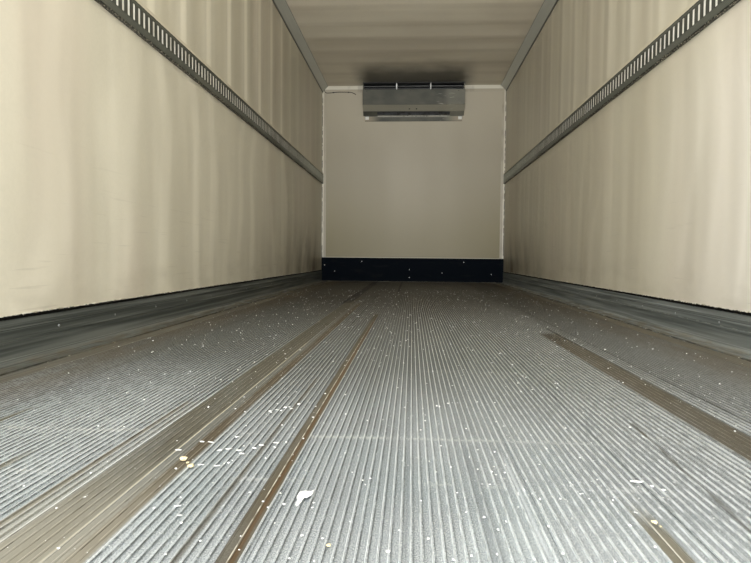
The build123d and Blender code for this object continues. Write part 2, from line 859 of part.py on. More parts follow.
# Inlet grille: level slats in a rim behind the cowl's three openings
slat_count = 9
grille_rim = 12
grille_bar = 8
grille_depth = 6
with BuildPart() as unit_grille:
    with BuildSketch(section(nose - cowl_thickness - grille_depth)):
        with Locations((0, grille_middle)):
            Rectangle(grille_width + 2 * grille_rim, grille_height + 2 * grille_rim)
            Rectangle(grille_width, grille_height, mode=Mode.SUBTRACT)
            with GridLocations(1, grille_height / slat_count, 1, slat_count):
                Rectangle(grille_width, grille_bar)
            with GridLocations(inlet_pitch, 1, inlet_count - 1, 1):
                Rectangle(inlet_post, grille_height)
    extrude(amount=-grille_depth)
save(unit_grille.part, "unit_grille")

# Hinge line of the right door, outside the rear frame's corner. Door pieces are drawn
# as they hang when folded back along the side wall: u runs forward from the hinge line
# and w runs outward from it. Closed, u points to the middle and w into the load space.
hinge_x = half_outer - hinge_edge
hinge_y = rear - door_proud - hinge_reach
outer_face = hinge_reach
inner_face = hinge_reach + door_thickness
hinge_side = hinge_x - half_inner + door_gap
seal_swing = hinge_x - centre_gap / 2
leaf_swing = seal_swing - seal_depth
leaf_bottom = floor + door_gap
leaf_top = ceiling - door_gap
lock_bar_places = [(leaf_swing - lock_bar_edge) / 2, leaf_swing - lock_bar_edge]
hinge_pitch = (inner_height - hinge_low - hinge_high) / (hinge_count - 1)
hinge_levels = [hinge_low + i * hinge_pitch for i in range(hinge_count)]


def door_plane(level):
    """Plan plane of the right door at a level. Extruding by a negative amount goes up."""
    return Plane(origin=(hinge_x, hinge_y, level), x_dir=(0, 1, 0), z_dir=(0, 0, -1))


def swept(radius, w):
    """Distance u at which a point w off the hinge line swings on this radius."""
    return sqrt(radius * radius - w * w)


# Door leaves: insulated, the free edge raked so that each opens past the other
with BuildPart() as door:
    with BuildSketch(door_plane(leaf_bottom)):
        outline(
            (hinge_side, outer_face),
            (swept(leaf_swing, outer_face), outer_face),
            (swept(leaf_swing, inner_face), inner_face),
            (hinge_side, inner_face),
        )
    extrude(amount=-(leaf_top - leaf_bottom))
    with BuildSketch(door_plane(leaf_bottom)):
        for place in lock_bar_places:
            with Locations((place, outer_face + lock_channel_depth / 2)):
                Rectangle(lock_channel_width, lock_channel_depth)
    extrude(amount=-(leaf_top - leaf_bottom), mode=Mode.SUBTRACT)
save_pair(door.part, "door")

# Door seals: a rubber band round the edge of each leaf
seal_inset = 12
seal_end = inner_face - seal_inset
seal_start = seal_end - seal_width
with BuildPart() as door_seal:
    with BuildSketch(door_plane(leaf_bottom - seal_depth)):
        outline(
            (hinge_side - seal_depth, seal_start),
            (swept(seal_swing, seal_start), seal_start),
            (swept(seal_swing, seal_end), seal_end),
            (hinge_side - seal_depth, seal_end),
        )
    extrude(amount=-(leaf_top - leaf_bottom + 2 * seal_depth))
    add(door.part, mode=Mode.SUBTRACT)
save_pair(door_seal.part, "door_seal")

# Hinge straps: flat bars on the leaf that turn down to the knuckle
strap_outer = outer_face - strap_thickness
with BuildPart() as hinge_straps:
    for level in hinge_levels:
        with BuildSketch(door_plane(floor + level - strap_height / 2)):
            with Locations((strap_length / 2, outer_face - strap_thickness / 2)):
                Rectangle(strap_length, strap_thickness)
        extrude(amount=-strap_height)
        with BuildSketch(door_plane(floor + level - knuckle_height / 2)):
            Circle(hinge_edge)
            with Locations((0, outer_face / 2)):
                Rectangle(2 * strap_thickness, outer_face)
            Circle(pin_radius + pin_clearance, mode=Mode.SUBTRACT)
        extrude(amount=-knuckle_height)
save_pair(hinge_straps.part, "hinge_straps")

# Hinge brackets: two ears and a pin at each level, welded to the rear frame's posts
ear_root = 60
ear_nose = 6
with BuildPart() as brackets_of_hinge:
    for level in hinge_levels:
        for low in (
            floor + level - knuckle_height / 2 - ear_gap - ear_height,
            floor + level + knuckle_height / 2 + ear_gap,
        ):
            with BuildSketch(Plane.XY.offset(low)):
                outline(
                    (half_outer, rear),
                    (half_outer - ear_root, rear),
                    (half_outer - ear_root, rear - door_proud),
                    (hinge_x - hinge_edge, hinge_y),
                    (hinge_x - hinge_edge, hinge_y - ear_nose),
                    (hinge_x - ear_nose, hinge_y - hinge_edge),
                    (hinge_x + ear_nose, hinge_y - hinge_edge),
                    (half_outer, hinge_y - ear_nose),
                )
            extrude(amount=ear_height)
        pin_half = (knuckle_height + ear_height) / 2 + ear_gap
        with BuildSketch(Plane.XY.offset(floor + level - pin_half)):
            with Locations((hinge_x, hinge_y)):
                Circle(pin_radius)
        extrude(amount=2 * pin_half)
with BuildPart() as hinge_brackets:
    add(brackets_of_hinge.part)
    add(mirror(brackets_of_hinge.part, about=Plane.YZ))
save(hinge_brackets.part, "hinge_brackets")

# Lock bars: round bars with square tongues at their ends and a flat lever
bar_w = outer_face - lock_channel_depth
bar_overlap = 2
lever_level = floor + hinge_levels[1] - lever_drop
lever_length = 260
lever_height = 28
lever_thickness = 8
with BuildPart() as lock_bars:
    for place in lock_bar_places:
        with BuildSketch(door_plane(leaf_bottom - bar_overlap)):
            with Locations((place, bar_w)):
                Circle(lock_bar_radius)
        extrude(amount=-(leaf_top - leaf_bottom + 2 * bar_overlap))
        with BuildSketch(door_plane(leaf_bottom - lock_tongue_reach)):
            with Locations((place, bar_w)):
                Rectangle(lock_tongue, lock_tongue)
        extrude(amount=-(leaf_top - leaf_bottom + 2 * lock_tongue_reach))
        with BuildSketch(door_plane(lever_level)):
            with Locations((place - lever_length / 2, bar_w)):
                Rectangle(lever_length, lever_thickness)
        extrude(amount=-lever_height)
save_pair(lock_bars.part, "lock_bars")

# Lock guides: blocks on the leaf that the bars turn in, and a catch for each lever's end
channel_outer = bar_w - lock_bar_radius - pin_clearance
guide_wall = 3
guide_outer = channel_outer - guide_wall
guide_over_lever = 380
guide_height = 40
guide_foot = 17
catch_length = 40
catch_wall = 6
catch_gap = 1.5
lock_guide_levels = [
    lock_guide_ends[0],
    lever_level - floor + guide_over_lever,
    inner_height - lock_guide_ends[1],
]
with BuildPart() as lock_guides:
    for place in lock_bar_places:
        for level in lock_guide_levels:
            with BuildSketch(door_plane(floor + level - guide_height / 2)):
                with Locations((place, (guide_outer + outer_face) / 2)):
                    Rectangle(lock_channel_width + 2 * guide_foot, outer_face - guide_outer)
                with Locations((place, (channel_outer + outer_face) / 2)):
                    Rectangle(
                        2 * (lock_bar_radius + pin_clearance),
                        outer_face - channel_outer,
                        mode=Mode.SUBTRACT,
                    )
            extrude(amount=-guide_height)
        catch_place = place - lever_length + catch_length
        for low in (lever_level - catch_gap - catch_wall, lever_level + lever_height + catch_gap):
            with BuildSketch(door_plane(low)):
                with Locations((catch_place, (guide_outer + outer_face) / 2)):
                    Rectangle(catch_length, outer_face - guide_outer)
            extrude(amount=-catch_wall)
save_pair(lock_guides.part, "lock_guides")

# Lock keepers: forks on the header and sill that the tongues swing into
keeper_height = 36
keeper_clearance = 6
keeper_gap = lock_tongue + 2 * keeper_clearance
keeper_offset = 8
keeper_plate = 4
keeper_reach = 36
keeper_wall = 8
with BuildPart() as keepers_right:
    for low in (floor - keeper_offset - keeper_height, ceiling + keeper_offset):
        with BuildSketch(Plane.XY.offset(low)):
            for place in lock_bar_places:
                x = hinge_x - place
                with Locations((x, rear - keeper_plate / 2)):
                    Rectangle(keeper_gap + 2 * keeper_wall, keeper_plate)
                for side in (-1, 1):
                    with Locations((x + side * (keeper_gap + keeper_wall) / 2, rear - keeper_reach / 2)):
                        Rectangle(keeper_wall, keeper_reach)
        extrude(amount=keeper_height)
with BuildPart() as lock_keepers:
    add(keepers_right.part)
    add(mirror(keepers_right.part, about=Plane.YZ))
save(lock_keepers.part, "lock_keepers")

# Door stops: rubber blocks on the side walls that the folded doors rest near
stop_size = 60
stop_gap = 5
stop_inset = 660
stop_taper = 8
stop_reach = hinge_x + outer_face - stop_gap - panel_outer
with BuildPart() as stops_right:
    with BuildSketch(Plane.YZ.offset(panel_outer)):
        for level in (stop_inset, inner_height - stop_inset):
            with Locations((hinge_y + sum(lock_bar_places) / 2, floor + level)):
                Rectangle(stop_size, stop_size)
    extrude(amount=stop_reach, taper=stop_taper)
with BuildPart() as door_stops:
    add(stops_right.part)
    add(mirror(stops_right.part, about=Plane.YZ))
save(door_stops.part, "door_stops")

# Marker lamps: white at the nose, amber along the bottom rails, red on the header
lamp_width = 110
lamp_height = 42
lamp_depth = 18
lamp_taper = 16
lamp_cut = 9
front_lamp_drop = 60
side_lamp_rise = 48
rear_lamp_inset = 110
rear_lamp_rise = 40
front_lamp_x = (unit_width / 2 + half_inner) / 2  # midway between the cowl and the wall's edge


def lamp_face():
    """Lens outline with cut corners, made inside the sketch that calls it."""
    half_width, half_height, cut = lamp_width / 2, lamp_height / 2, lamp_cut
    outline(
        (-half_width, half_height - cut),
        (-half_width + cut, half_height),
        (half_width - cut, half_height),
        (half_width, half_height - cut),
        (half_width, cut - half_height),
        (half_width - cut, -half_height),
        (cut - half_width, -half_height),
        (-half_width, cut - half_height),
    )


with BuildPart() as front_lamps:
    for side in (-1, 1):
        lamp_foot = Plane(
            origin=(side * front_lamp_x, wall_front, ceiling - front_lamp_drop),
            x_dir=(0, 0, 1),
            z_dir=(0, 1, 0),
        )
        with BuildSketch(lamp_foot):
            lamp_face()
        extrude(amount=lamp_depth, taper=lamp_taper)
save(front_lamps.part, "front_lamps")

side_lamp_count = 4
side_lamp_first = 1500
side_lamp_last = inner_length - 300
side_lamp_pitch = (side_lamp_last - side_lamp_first) / (side_lamp_count - 1)
side_lamp_places = [side_lamp_first + i * side_lamp_pitch for i in range(side_lamp_count)]
with BuildPart() as side_lamps:
    for side in (-1, 1):
        for place in side_lamp_places:
            lamp_foot = Plane(
                origin=(side * half_outer, rear + place, panel_bottom + side_lamp_rise),
                x_dir=(0, 1, 0),
                z_dir=(side, 0, 0),
            )
            with BuildSketch(lamp_foot):
                lamp_face()
            extrude(amount=lamp_depth, taper=lamp_taper)
save(side_lamps.part, "side_lamps")

with BuildPart() as rear_lamps:
    for side in (-1, 1):
        lamp_foot = Plane(
            origin=(side * (half_outer - rear_lamp_inset), rear, ceiling + rear_lamp_rise),
            x_dir=(1, 0, 0),
            z_dir=(0, -1, 0),
        )
        with BuildSketch(lamp_foot):
            lamp_face()
        extrude(amount=lamp_depth, taper=lamp_taper)
save(rear_lamps.part, "rear_lamps")

# Sensor cable: held along the front wall by two clips, one end behind the cove
cable_route = [  # distance from the left wall, drop below the ceiling
    (cable_start_out, cable_start_drop),
    (cable_start_out, 72),
    (52, 95),
    (104, 94),
    (196, 82),
    (310, 84),
    (402, 88),
    (456, 118),
]
cable_points = [Vector(-half_inner + out, cable_y, ceiling - drop) for out, drop in cable_route]
cable_radii = []
for before, corner, after in zip(cable_points, cable_points[1:], cable_points[2:]):
    arrive, leave = corner - before, after - corner
    turn = arrive.get_angle(leave) * pi / 180
    shorter = min(arrive.length, leave.length)
    cable_radii.append(0.45 * shorter / (sin(turn / 2) / cos(turn / 2)))
print("cable radii", [round(radius) for radius in cable_radii])
with BuildPart() as sensor_cable:
    with BuildLine() as cable_line:
        FilletPolyline(*cable_points, radius=cable_radii)
    with BuildSketch(Plane(origin=cable_line.line @ 0, z_dir=cable_line.line % 0)):
        RegularPolygon(cable_diameter / 2, cable_sides)
    sweep()
cable_length = cable_line.wires()[0].length
cable_section = cable_sides / 2 * (cable_diameter / 2) ** 2 * sin(2 * pi / cable_sides)
cable_solid = cable_section * cable_length
print("cable length", round(cable_length), "volume share", sensor_cable.part.volume / cable_solid)
save(sensor_cable.part, "sensor_cable")

# Cable clips: saddles over the cable, screwed to the trim
clip_runs = [3, 5]  # the runs of the route that the clips hold, by their first point
clip_wall = 2
clip_bore = cable_diameter / 2 + pin_clearance
with BuildPart() as cable_clips:
    for start in clip_runs:
        run = cable_points[start + 1] - cable_points[start]
        across_run = Plane(
            origin=cable_points[start] + run * 0.5 - run.normalized() * clip_width / 2,
            x_dir=(0, 1, 0),
            z_dir=run,
        )
        with BuildSketch(across_run):
            Circle(clip_bore + clip_wall)
            with Locations(((trim_front - cable_y) / 2, 0)):
                Rectangle(trim_front - cable_y, 2 * (clip_bore + clip_wall))
            Circle(clip_bore, mode=Mode.SUBTRACT)
        extrude(amount=clip_width)
save(cable_clips.part, "cable_clips")
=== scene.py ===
"""Looks of an insulated truck box body: load space, evaporator, rear doors and cooling unit."""

import json
from math import pi, radians, sin
from random import Random

import bpy
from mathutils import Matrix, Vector


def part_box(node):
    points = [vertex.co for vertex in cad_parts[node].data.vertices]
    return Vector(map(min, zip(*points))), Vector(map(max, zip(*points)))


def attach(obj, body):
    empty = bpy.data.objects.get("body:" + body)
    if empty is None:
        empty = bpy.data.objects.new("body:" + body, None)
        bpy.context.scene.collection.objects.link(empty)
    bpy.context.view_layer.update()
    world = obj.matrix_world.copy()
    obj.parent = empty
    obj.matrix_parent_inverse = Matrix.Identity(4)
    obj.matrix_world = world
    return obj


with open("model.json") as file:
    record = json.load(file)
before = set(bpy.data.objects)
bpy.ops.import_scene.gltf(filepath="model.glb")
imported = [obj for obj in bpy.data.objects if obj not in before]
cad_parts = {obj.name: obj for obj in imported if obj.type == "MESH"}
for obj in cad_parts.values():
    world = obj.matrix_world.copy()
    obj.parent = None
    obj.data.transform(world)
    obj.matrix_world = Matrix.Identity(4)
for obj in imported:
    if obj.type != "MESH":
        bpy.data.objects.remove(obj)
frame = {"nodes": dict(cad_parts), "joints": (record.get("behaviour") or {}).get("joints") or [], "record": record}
nodes = frame["nodes"]
bpy.ops.object.select_all(action="DESELECT")
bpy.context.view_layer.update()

# Camera and studio: the camera stands at the rear sill, a forearm above the floor, and looks
# into the body. A pale floor, a pale sky and large soft lights stand round it.
deck_low, deck_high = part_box("floor_deck")
floor_level = deck_high.z
bulkhead_y = deck_high.y
camera_back = 8.22  # from the front wall
camera_y = bulkhead_y - camera_back
camera_height = 0.344  # over the floor
camera_yaw = 3.45
camera_pitch = 2.41
camera_roll = 0.5
bpy.ops.object.camera_add(
    location=(0.003, camera_y, floor_level + camera_height),
    rotation=(radians(90 - camera_pitch), radians(-camera_roll), radians(camera_yaw)),
)
camera = bpy.context.object
camera.data.sensor_width = 36
camera.data.lens = 29
camera.data.clip_end = 100
studio = bpy.context.scene
studio.camera = camera

bpy.ops.mesh.primitive_plane_add(size=60, location=(0, 0, -0.001))
studio_floor = bpy.context.object
studio_floor.name = "studio_floor"
studio_finish = bpy.data.materials.new("studio_floor")
studio_finish.use_nodes = True
studio_shader = studio_finish.node_tree.nodes["Principled BSDF"].inputs
studio_shader["Base Color"].default_value = (0.62, 0.62, 0.61, 1)
studio_shader["Roughness"].default_value = 0.8
studio_floor.data.materials.append(studio_finish)

studio.world = bpy.data.worlds.new("studio_sky")
studio.world.use_nodes = True
sky = studio.world.node_tree.nodes["Background"].inputs
sky["Color"].default_value = (0.93, 0.96, 1.0, 1)
sky["Strength"].default_value = 0.35
studio.view_settings.view_transform = "Standard"
studio.cycles.use_denoising = True
studio.cycles.diffuse_bounces = 8
studio.cycles.max_bounces = 12

soft_lights = [  # place, what it faces, width, height, spread, power, colour
    ((-0.6, -9.5, 2.8), (0, 0, 1.2), 7.0, 3.6, 120, 60, (0.96, 0.98, 1.0)),
    ((-0.8, -5.5, 2.4), (0, -1.0, 0.9), 3.4, 3.0, 130, 145, (0.98, 0.99, 1.0)),
    ((0.1, -6.4, 0.25), (0, -0.5, 2.9), 3.4, 0.9, 110, 168, (1.0, 0.98, 0.94)),
    ((-9.0, -3.0, 8.0), (0, 0, 1.5), 6.0, 6.0, 180, 420, (1.0, 0.98, 0.95)),
    ((9.0, 3.0, 8.0), (0, 0, 1.5), 6.0, 6.0, 180, 330, (1.0, 0.98, 0.95)),
    ((0.0, 12.0, 6.0), (0, 0, 1.5), 6.0, 4.0, 180, 260, (0.97, 0.98, 1.0)),
]
for place, target, width, height, spread, power, colour in soft_lights:
    bpy.ops.object.light_add(type="AREA", location=place)
    light = bpy.context.object
    light.rotation_euler = (Vector(target) - Vector(place)).to_track_quat("-Z", "Y").to_euler()
    light.data.shape = "RECTANGLE"
    light.data.size = width
    light.data.size_y = height
    light.data.spread = radians(spread)
    light.data.energy = power
    light.data.color = colour
    light.visible_camera = False


# Subframe: two galvanised runners, the cross members on them and the bolted brackets at
# their sides. The hot-dipped zinc shows its spangle under patches of road dirt.
class Term:
    """One output of a finish's nodes. Arithmetic on terms and numbers adds Math nodes."""

    def __init__(self, finish, socket):
        self.finish = finish
        self.socket = socket

    def math(self, operation, *terms):
        return self.finish.node("Math", {"operation": operation}, dict(enumerate(terms)))

    def __add__(self, other):
        return self.math("ADD", self, other)

    def __sub__(self, other):
        return self.math("SUBTRACT", self, other)

    def __rsub__(self, other):
        return self.math("SUBTRACT", other, self)

    def __mul__(self, other):
        return self.math("MULTIPLY", self, other)

    def __truediv__(self, other):
        return self.math("DIVIDE", self, other)

    def __mod__(self, other):
        return self.math("FLOORED_MODULO", self, other)

    def __abs__(self):
        return self.math("ABSOLUTE", self)

    __radd__ = __add__
    __rmul__ = __mul__

    def sine(self):
        return self.math("SINE", self)

    def capped(self):
        return self.math("MINIMUM", self, 1)

    def rise(self, low, high):
        """0 below low, 1 above high, and smooth between them. It falls where high is below low."""
        limits = {"Value": self, "From Min": low, "From Max": high}
        return self.finish.node("MapRange", {"interpolation_type": "SMOOTHSTEP"}, limits)


class Finish:
    """A material and the nodes that make it, on Object coordinates in metres."""

    def __init__(self, name, **constants):
        self.material = bpy.data.materials.new(name)
        self.material.use_nodes = True
        self.tree = self.material.node_tree
        self.shader = self.tree.nodes["Principled BSDF"]
        for socket, value in constants.items():
            self.shader.inputs[socket.replace("_", " ")].default_value = value
        self.place = self.node("TexCoord", out="Object")
        self.x, self.y, self.z = (self.node("SeparateXYZ", {}, {0: self.place}, axis) for axis in "XYZ")

    def node(self, kind, settings=None, sockets=None, out=0):
        """Adds a node, sets it, fills its sockets with values or terms, and gives one output."""
        made = self.tree.nodes.new("ShaderNode" + kind)
        for name, setting in (settings or {}).items():
            setattr(made, name, setting)
        for socket, value in (sockets or {}).items():
            if isinstance(value, Term):
                self.tree.links.new(value.socket, made.inputs[socket])
            else:
                made.inputs[socket].default_value = value
        return Term(self, made.outputs[out])

    def noise(self, scale, stretch=(1, 1, 1), detail=2, shift=0):
        """Soft noise from 0 to 1. A small stretch along an axis draws it out along that axis."""
        moved = {"Vector": self.place, "Scale": stretch, "Location": (shift, shift, shift)}
        stretched = self.node("Mapping", {}, moved)
        return self.node("TexNoise", {}, {"Vector": stretched, "Scale": scale, "Detail": detail}, "Fac")

    def mix(self, share, *colours):
        """The first colour turned into the second. Colours are terms or display values of 0 to 255."""
        sockets = {0: share}
        for socket, colour in zip((6, 7), colours):
            if not isinstance(colour, Term):
                colour = tuple((value / 255) ** 2.2 for value in colour) + (1,)
            sockets[socket] = colour
        return self.node("Mix", {"data_type": "RGBA"}, sockets, 2)

    def layers(self, tone, *washes):
        """A colour under washes, each of them a share and the colour that it turns to."""
        for share, colour in washes:
            tone = self.mix(share, tone, colour)
        return tone

    def wear(self, colour=None, roughness=None, metallic=None, height=None, depth=0.001):
        """Joins terms to the shader. The height is in shares of the depth, in metres."""
        for socket, value in (("Base Color", colour), ("Roughness", roughness), ("Metallic", metallic)):
            if value is not None:
                self.tree.links.new(value.socket, self.shader.inputs[socket])
        if height is not None:
            relief = self.node("Bump", {}, {"Strength": 1.0, "Distance": depth, "Height": height})
            self.tree.links.new(relief.socket, self.shader.inputs["Normal"])


def paint(finish, *names):
    """Gives CAD nodes a finish."""
    for name in names:
        nodes[name].material_slots[0].material = finish.material


def dress(piece, name, finish, body="box"):
    """Names a finished piece, gives it its finish and lets it ride on a body."""
    piece.name = name
    piece.data.name = name
    piece.data.materials.clear()
    piece.data.materials.append(finish.material)
    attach(piece, body)


def joined(piece):
    """The piece and all that is selected as one mesh, with its place in the mesh."""
    piece.select_set(True)
    bpy.context.view_layer.objects.active = piece
    bpy.ops.object.join()
    bpy.ops.object.transform_apply(location=True, rotation=True, scale=True)
    return piece


def modified(piece, kind, **settings):
    """The active piece with one modifier applied."""
    modifier = piece.modifiers.new("shape", kind)
    for name, value in settings.items():
        setattr(modifier, name, value)
    bpy.ops.object.modifier_apply(modifier="shape")
    return piece


def placed(pattern, place):
    """A selected copy of a pattern at a place, with a mesh of its own."""
    copy = bpy.data.objects.new("copy", pattern.data.copy())
    bpy.context.collection.objects.link(copy)
    copy.location = place
    copy.select_set(True)
    return copy


def stamp(pattern, places):
    """Copies of a pattern, which stands along +Z, at (place, facing) pairs, joined in one mesh."""
    bpy.ops.object.select_all(action="DESELECT")
    for place, facing in places:
        copy = placed(pattern, place)
        copy.rotation_mode = "QUATERNION"
        copy.rotation_quaternion = Vector((0, 0, 1)).rotation_difference(Vector(facing))
    bpy.data.objects.remove(pattern)
    return joined(copy)


galvanised = Finish("galvanised_steel", Metallic=0.75)
spangle = galvanised.node("TexVoronoi", {}, {"Vector": galvanised.place, "Scale": 60}, "Color")
flake_tone = galvanised.node("SeparateXYZ", {}, {0: spangle}, "X")
road_dirt = galvanised.noise(3, detail=5).rise(0.45, 0.7) * 0.7
zinc = galvanised.mix(flake_tone * 0.5 + galvanised.noise(2) * 0.5, (128, 132, 134), (172, 176, 178))
galvanised.wear(
    colour=galvanised.mix(road_dirt, zinc, (92, 84, 72)),
    roughness=0.38 + road_dirt * 0.4 + flake_tone * 0.12,
    height=galvanised.noise(120, detail=3),
    depth=0.0004,
)
paint(galvanised, "subframe_runners", "cross_members", "mounting_brackets", "unit_frame")


def bolt(radius, height):
    """Hexagon head on a washer, standing along +Z at the origin."""
    head_middle = (0, 0, height / 2 + 0.002)
    bpy.ops.mesh.primitive_cylinder_add(vertices=6, radius=radius, depth=height, location=head_middle)
    head = modified(bpy.context.object, "BEVEL", width=radius * 0.12, segments=1)
    washer = 0.0025
    bpy.ops.mesh.primitive_cylinder_add(
        vertices=20, radius=radius * 1.5, depth=washer, location=(0, 0, washer / 2)
    )
    return joined(head)


zinc_bolts = Finish("zinc_bolts", Metallic=0.9)
bolt_dirt = zinc_bolts.noise(40, detail=4).rise(0.4, 0.7)
zinc_bolts.wear(
    colour=zinc_bolts.mix(bolt_dirt, (186, 188, 186), (120, 104, 80)),
    roughness=0.3 + bolt_dirt * 0.35,
)
bracket_face = 0.475  # outer face of a bracket's upright leg, from the middle of the body
bolt_level = 0.065
bolt_half_pitch = 0.05
bolt_spots = []
for mount in frame["record"]["mounts"]:
    if mount["name"].startswith("bracket_bolts"):
        side = 1 if mount["pos_m"][0] > 0 else -1
        for step in (-bolt_half_pitch, bolt_half_pitch):
            bolt_spots.append(((side * bracket_face, mount["pos_m"][1] + step, bolt_level), (side, 0, 0)))
dress(stamp(bolt(0.010, 0.008), bolt_spots), "bracket_bolts", zinc_bolts)

# Floor deck: ribbed aluminium planks. The rib tops are painted lighter as lit, each rib's left
# edge carries a painted highlight and its right side painted shadow, and the valleys hold dirt.
# The deck is painted darker away from the door as shade and darker on its right half, its sill
# end is painted lighter as light from the door, and its near left is painted lighter. Pallets
# and leaks have left long brown stains and white scuffs along the body.
rib_height = 0.003
rib_pitch = 0.180 / 14
ribbed_half = 1.080
valley_level = floor_level - rib_height
deck = Finish("deck_aluminium")
from_rib = (deck.x + ribbed_half) % rib_pitch - rib_pitch / 2
from_middle = abs(deck.x)
ribbed = from_middle.rise(ribbed_half, ribbed_half - 0.001)
broken = deck.noise(130, (1, 0.25, 1)).rise(0.36, 0.56)
# The tops of the ribs are painted lighter as lit, the left edge of each rib carries a painted highlight where the
# metal is also smoother, its right side carries painted shadow, and the feet of the ribs are darker.
rib_top = from_rib.rise(-0.0025, -0.0018) * from_rib.rise(0.0006, -0.0004) * ribbed
rib_polish_and_highlight = from_rib.rise(-0.0026, -0.0022) * from_rib.rise(-0.0010, -0.0015) * ribbed
rib_shadow = from_rib.rise(0.0009, 0.0013) * from_rib.rise(0.0021, 0.0017) * ribbed
rib_foot = abs(abs(from_rib) - 0.0026).rise(0.0005, 0.0002) * ribbed
fringe = (deck.noise(60, (1, 0.12, 1), detail=3) - 0.5) * 0.002
wander = (deck.noise(5, (1, 0.25, 1), detail=4) - 0.5) * 0.15


def stripe(left, right, start, end, soft=0.003):
    """A mark along the body between two distances from its middle, from one y to another."""
    fade = 0.12
    across = deck.x + fringe
    along = deck.y + wander
    mark = across.rise(left - soft, left + soft) * across.rise(right + soft, right - soft)
    return mark * along.rise(start, start + fade) * along.rise(end, end - fade)


def smear(middle, width):
    """A pale scuff across the planks at a distance along the body."""
    along = deck.y + wander * 0.1
    worn = deck.noise(9, (1, 4, 1), detail=4).rise(0.45, 0.62)
    return along.rise(middle - width, middle) * along.rise(middle + width, middle) * worn


mottled = deck.noise(7, (1, 0.2, 1), detail=5)
speckle = deck.noise(620, (1, 0.6, 1))
streaks = deck.noise(90, (1, 0.012, 1), detail=3)
cool = deck.noise(5, (1, 0.5, 1), detail=3, shift=7).rise(0.5, 0.65)
# The deck is painted darker away from the door as painted shade, and its sill end lighter as painted light from
# the door.
painted_falloff = deck.y.rise(-3.9, -2.6)
# Toward the front the deck turns dark brown and rougher, partly dirt and partly painted shade.
far = deck.y.rise(-2.8, 0.6)
# The near left of the deck is painted lighter.
lighter_near_left = deck.x.rise(-0.46, -0.60) * deck.y.rise(-2.2, -3.4)
right_side = deck.x.rise(0.05, 0.5)
outer_right = deck.x.rise(0.60, 0.76) * deck.y.rise(-3.9, -3.1)
sill_light = deck.y.rise(-3.72, -4.02) * from_middle.rise(0.7, 0.3)
# Painted shadow on the right side of each rib, with dark rib feet, stronger away from the door.
rib_foot_dirt_and_shadow = (rib_foot * 0.2 + rib_shadow * (broken * 0.9 + 0.1)) * (0.75 + painted_falloff * 0.25)
scuffs = smear(-3.49, 0.016) + smear(-3.72, 0.012) * 0.7 + smear(-2.81, 0.03) * 0.7
# Over the base tone: the near left painted lighter, the right half darker, painted light at the sill, the rib tops
# painted lighter, painted shadow and painted highlight on the ribs, painted shade away from the door, and toward
# the front a dark brown that is part dirt and part painted shade.
metal_tone = deck.layers(
    deck.mix(mottled.rise(0.3, 0.7), (123, 129, 132), (148, 154, 157)),
    (streaks.rise(0.5, 0.68) * 0.25, (108, 111, 108)),
    (cool * 0.35, (130, 144, 146)),
    (lighter_near_left * 0.35, (200, 206, 206)),
    (right_side * 0.84, (94, 99, 102)),
    (sill_light * 0.35, (196, 202, 203)),
    (speckle.rise(0.53, 0.63) * 0.65, (204, 208, 206)),
    (speckle.rise(0.47, 0.37) * 0.62, (88, 90, 87)),
    (rib_top * 0.25, (204, 208, 207)),
    (rib_foot_dirt_and_shadow, (40, 42, 41)),
    (rib_polish_and_highlight * (broken * 0.6 + 0.35), (240, 244, 244)),
    (scuffs * 0.4, (214, 216, 212)),
    (painted_falloff * (1 - lighter_near_left * 0.5) * 0.78, deck.mix(rib_top, (76, 78, 73), (160, 161, 154))),
    (outer_right * 0.45, (62, 63, 59)),
    (far * 0.72, (63, 56, 43)),
)
patches = deck.noise(30, (1, 0.1, 1), detail=4).rise(0.3, 0.62)
rear_y = deck_low.y - 1
front_y = deck_high.y + 1
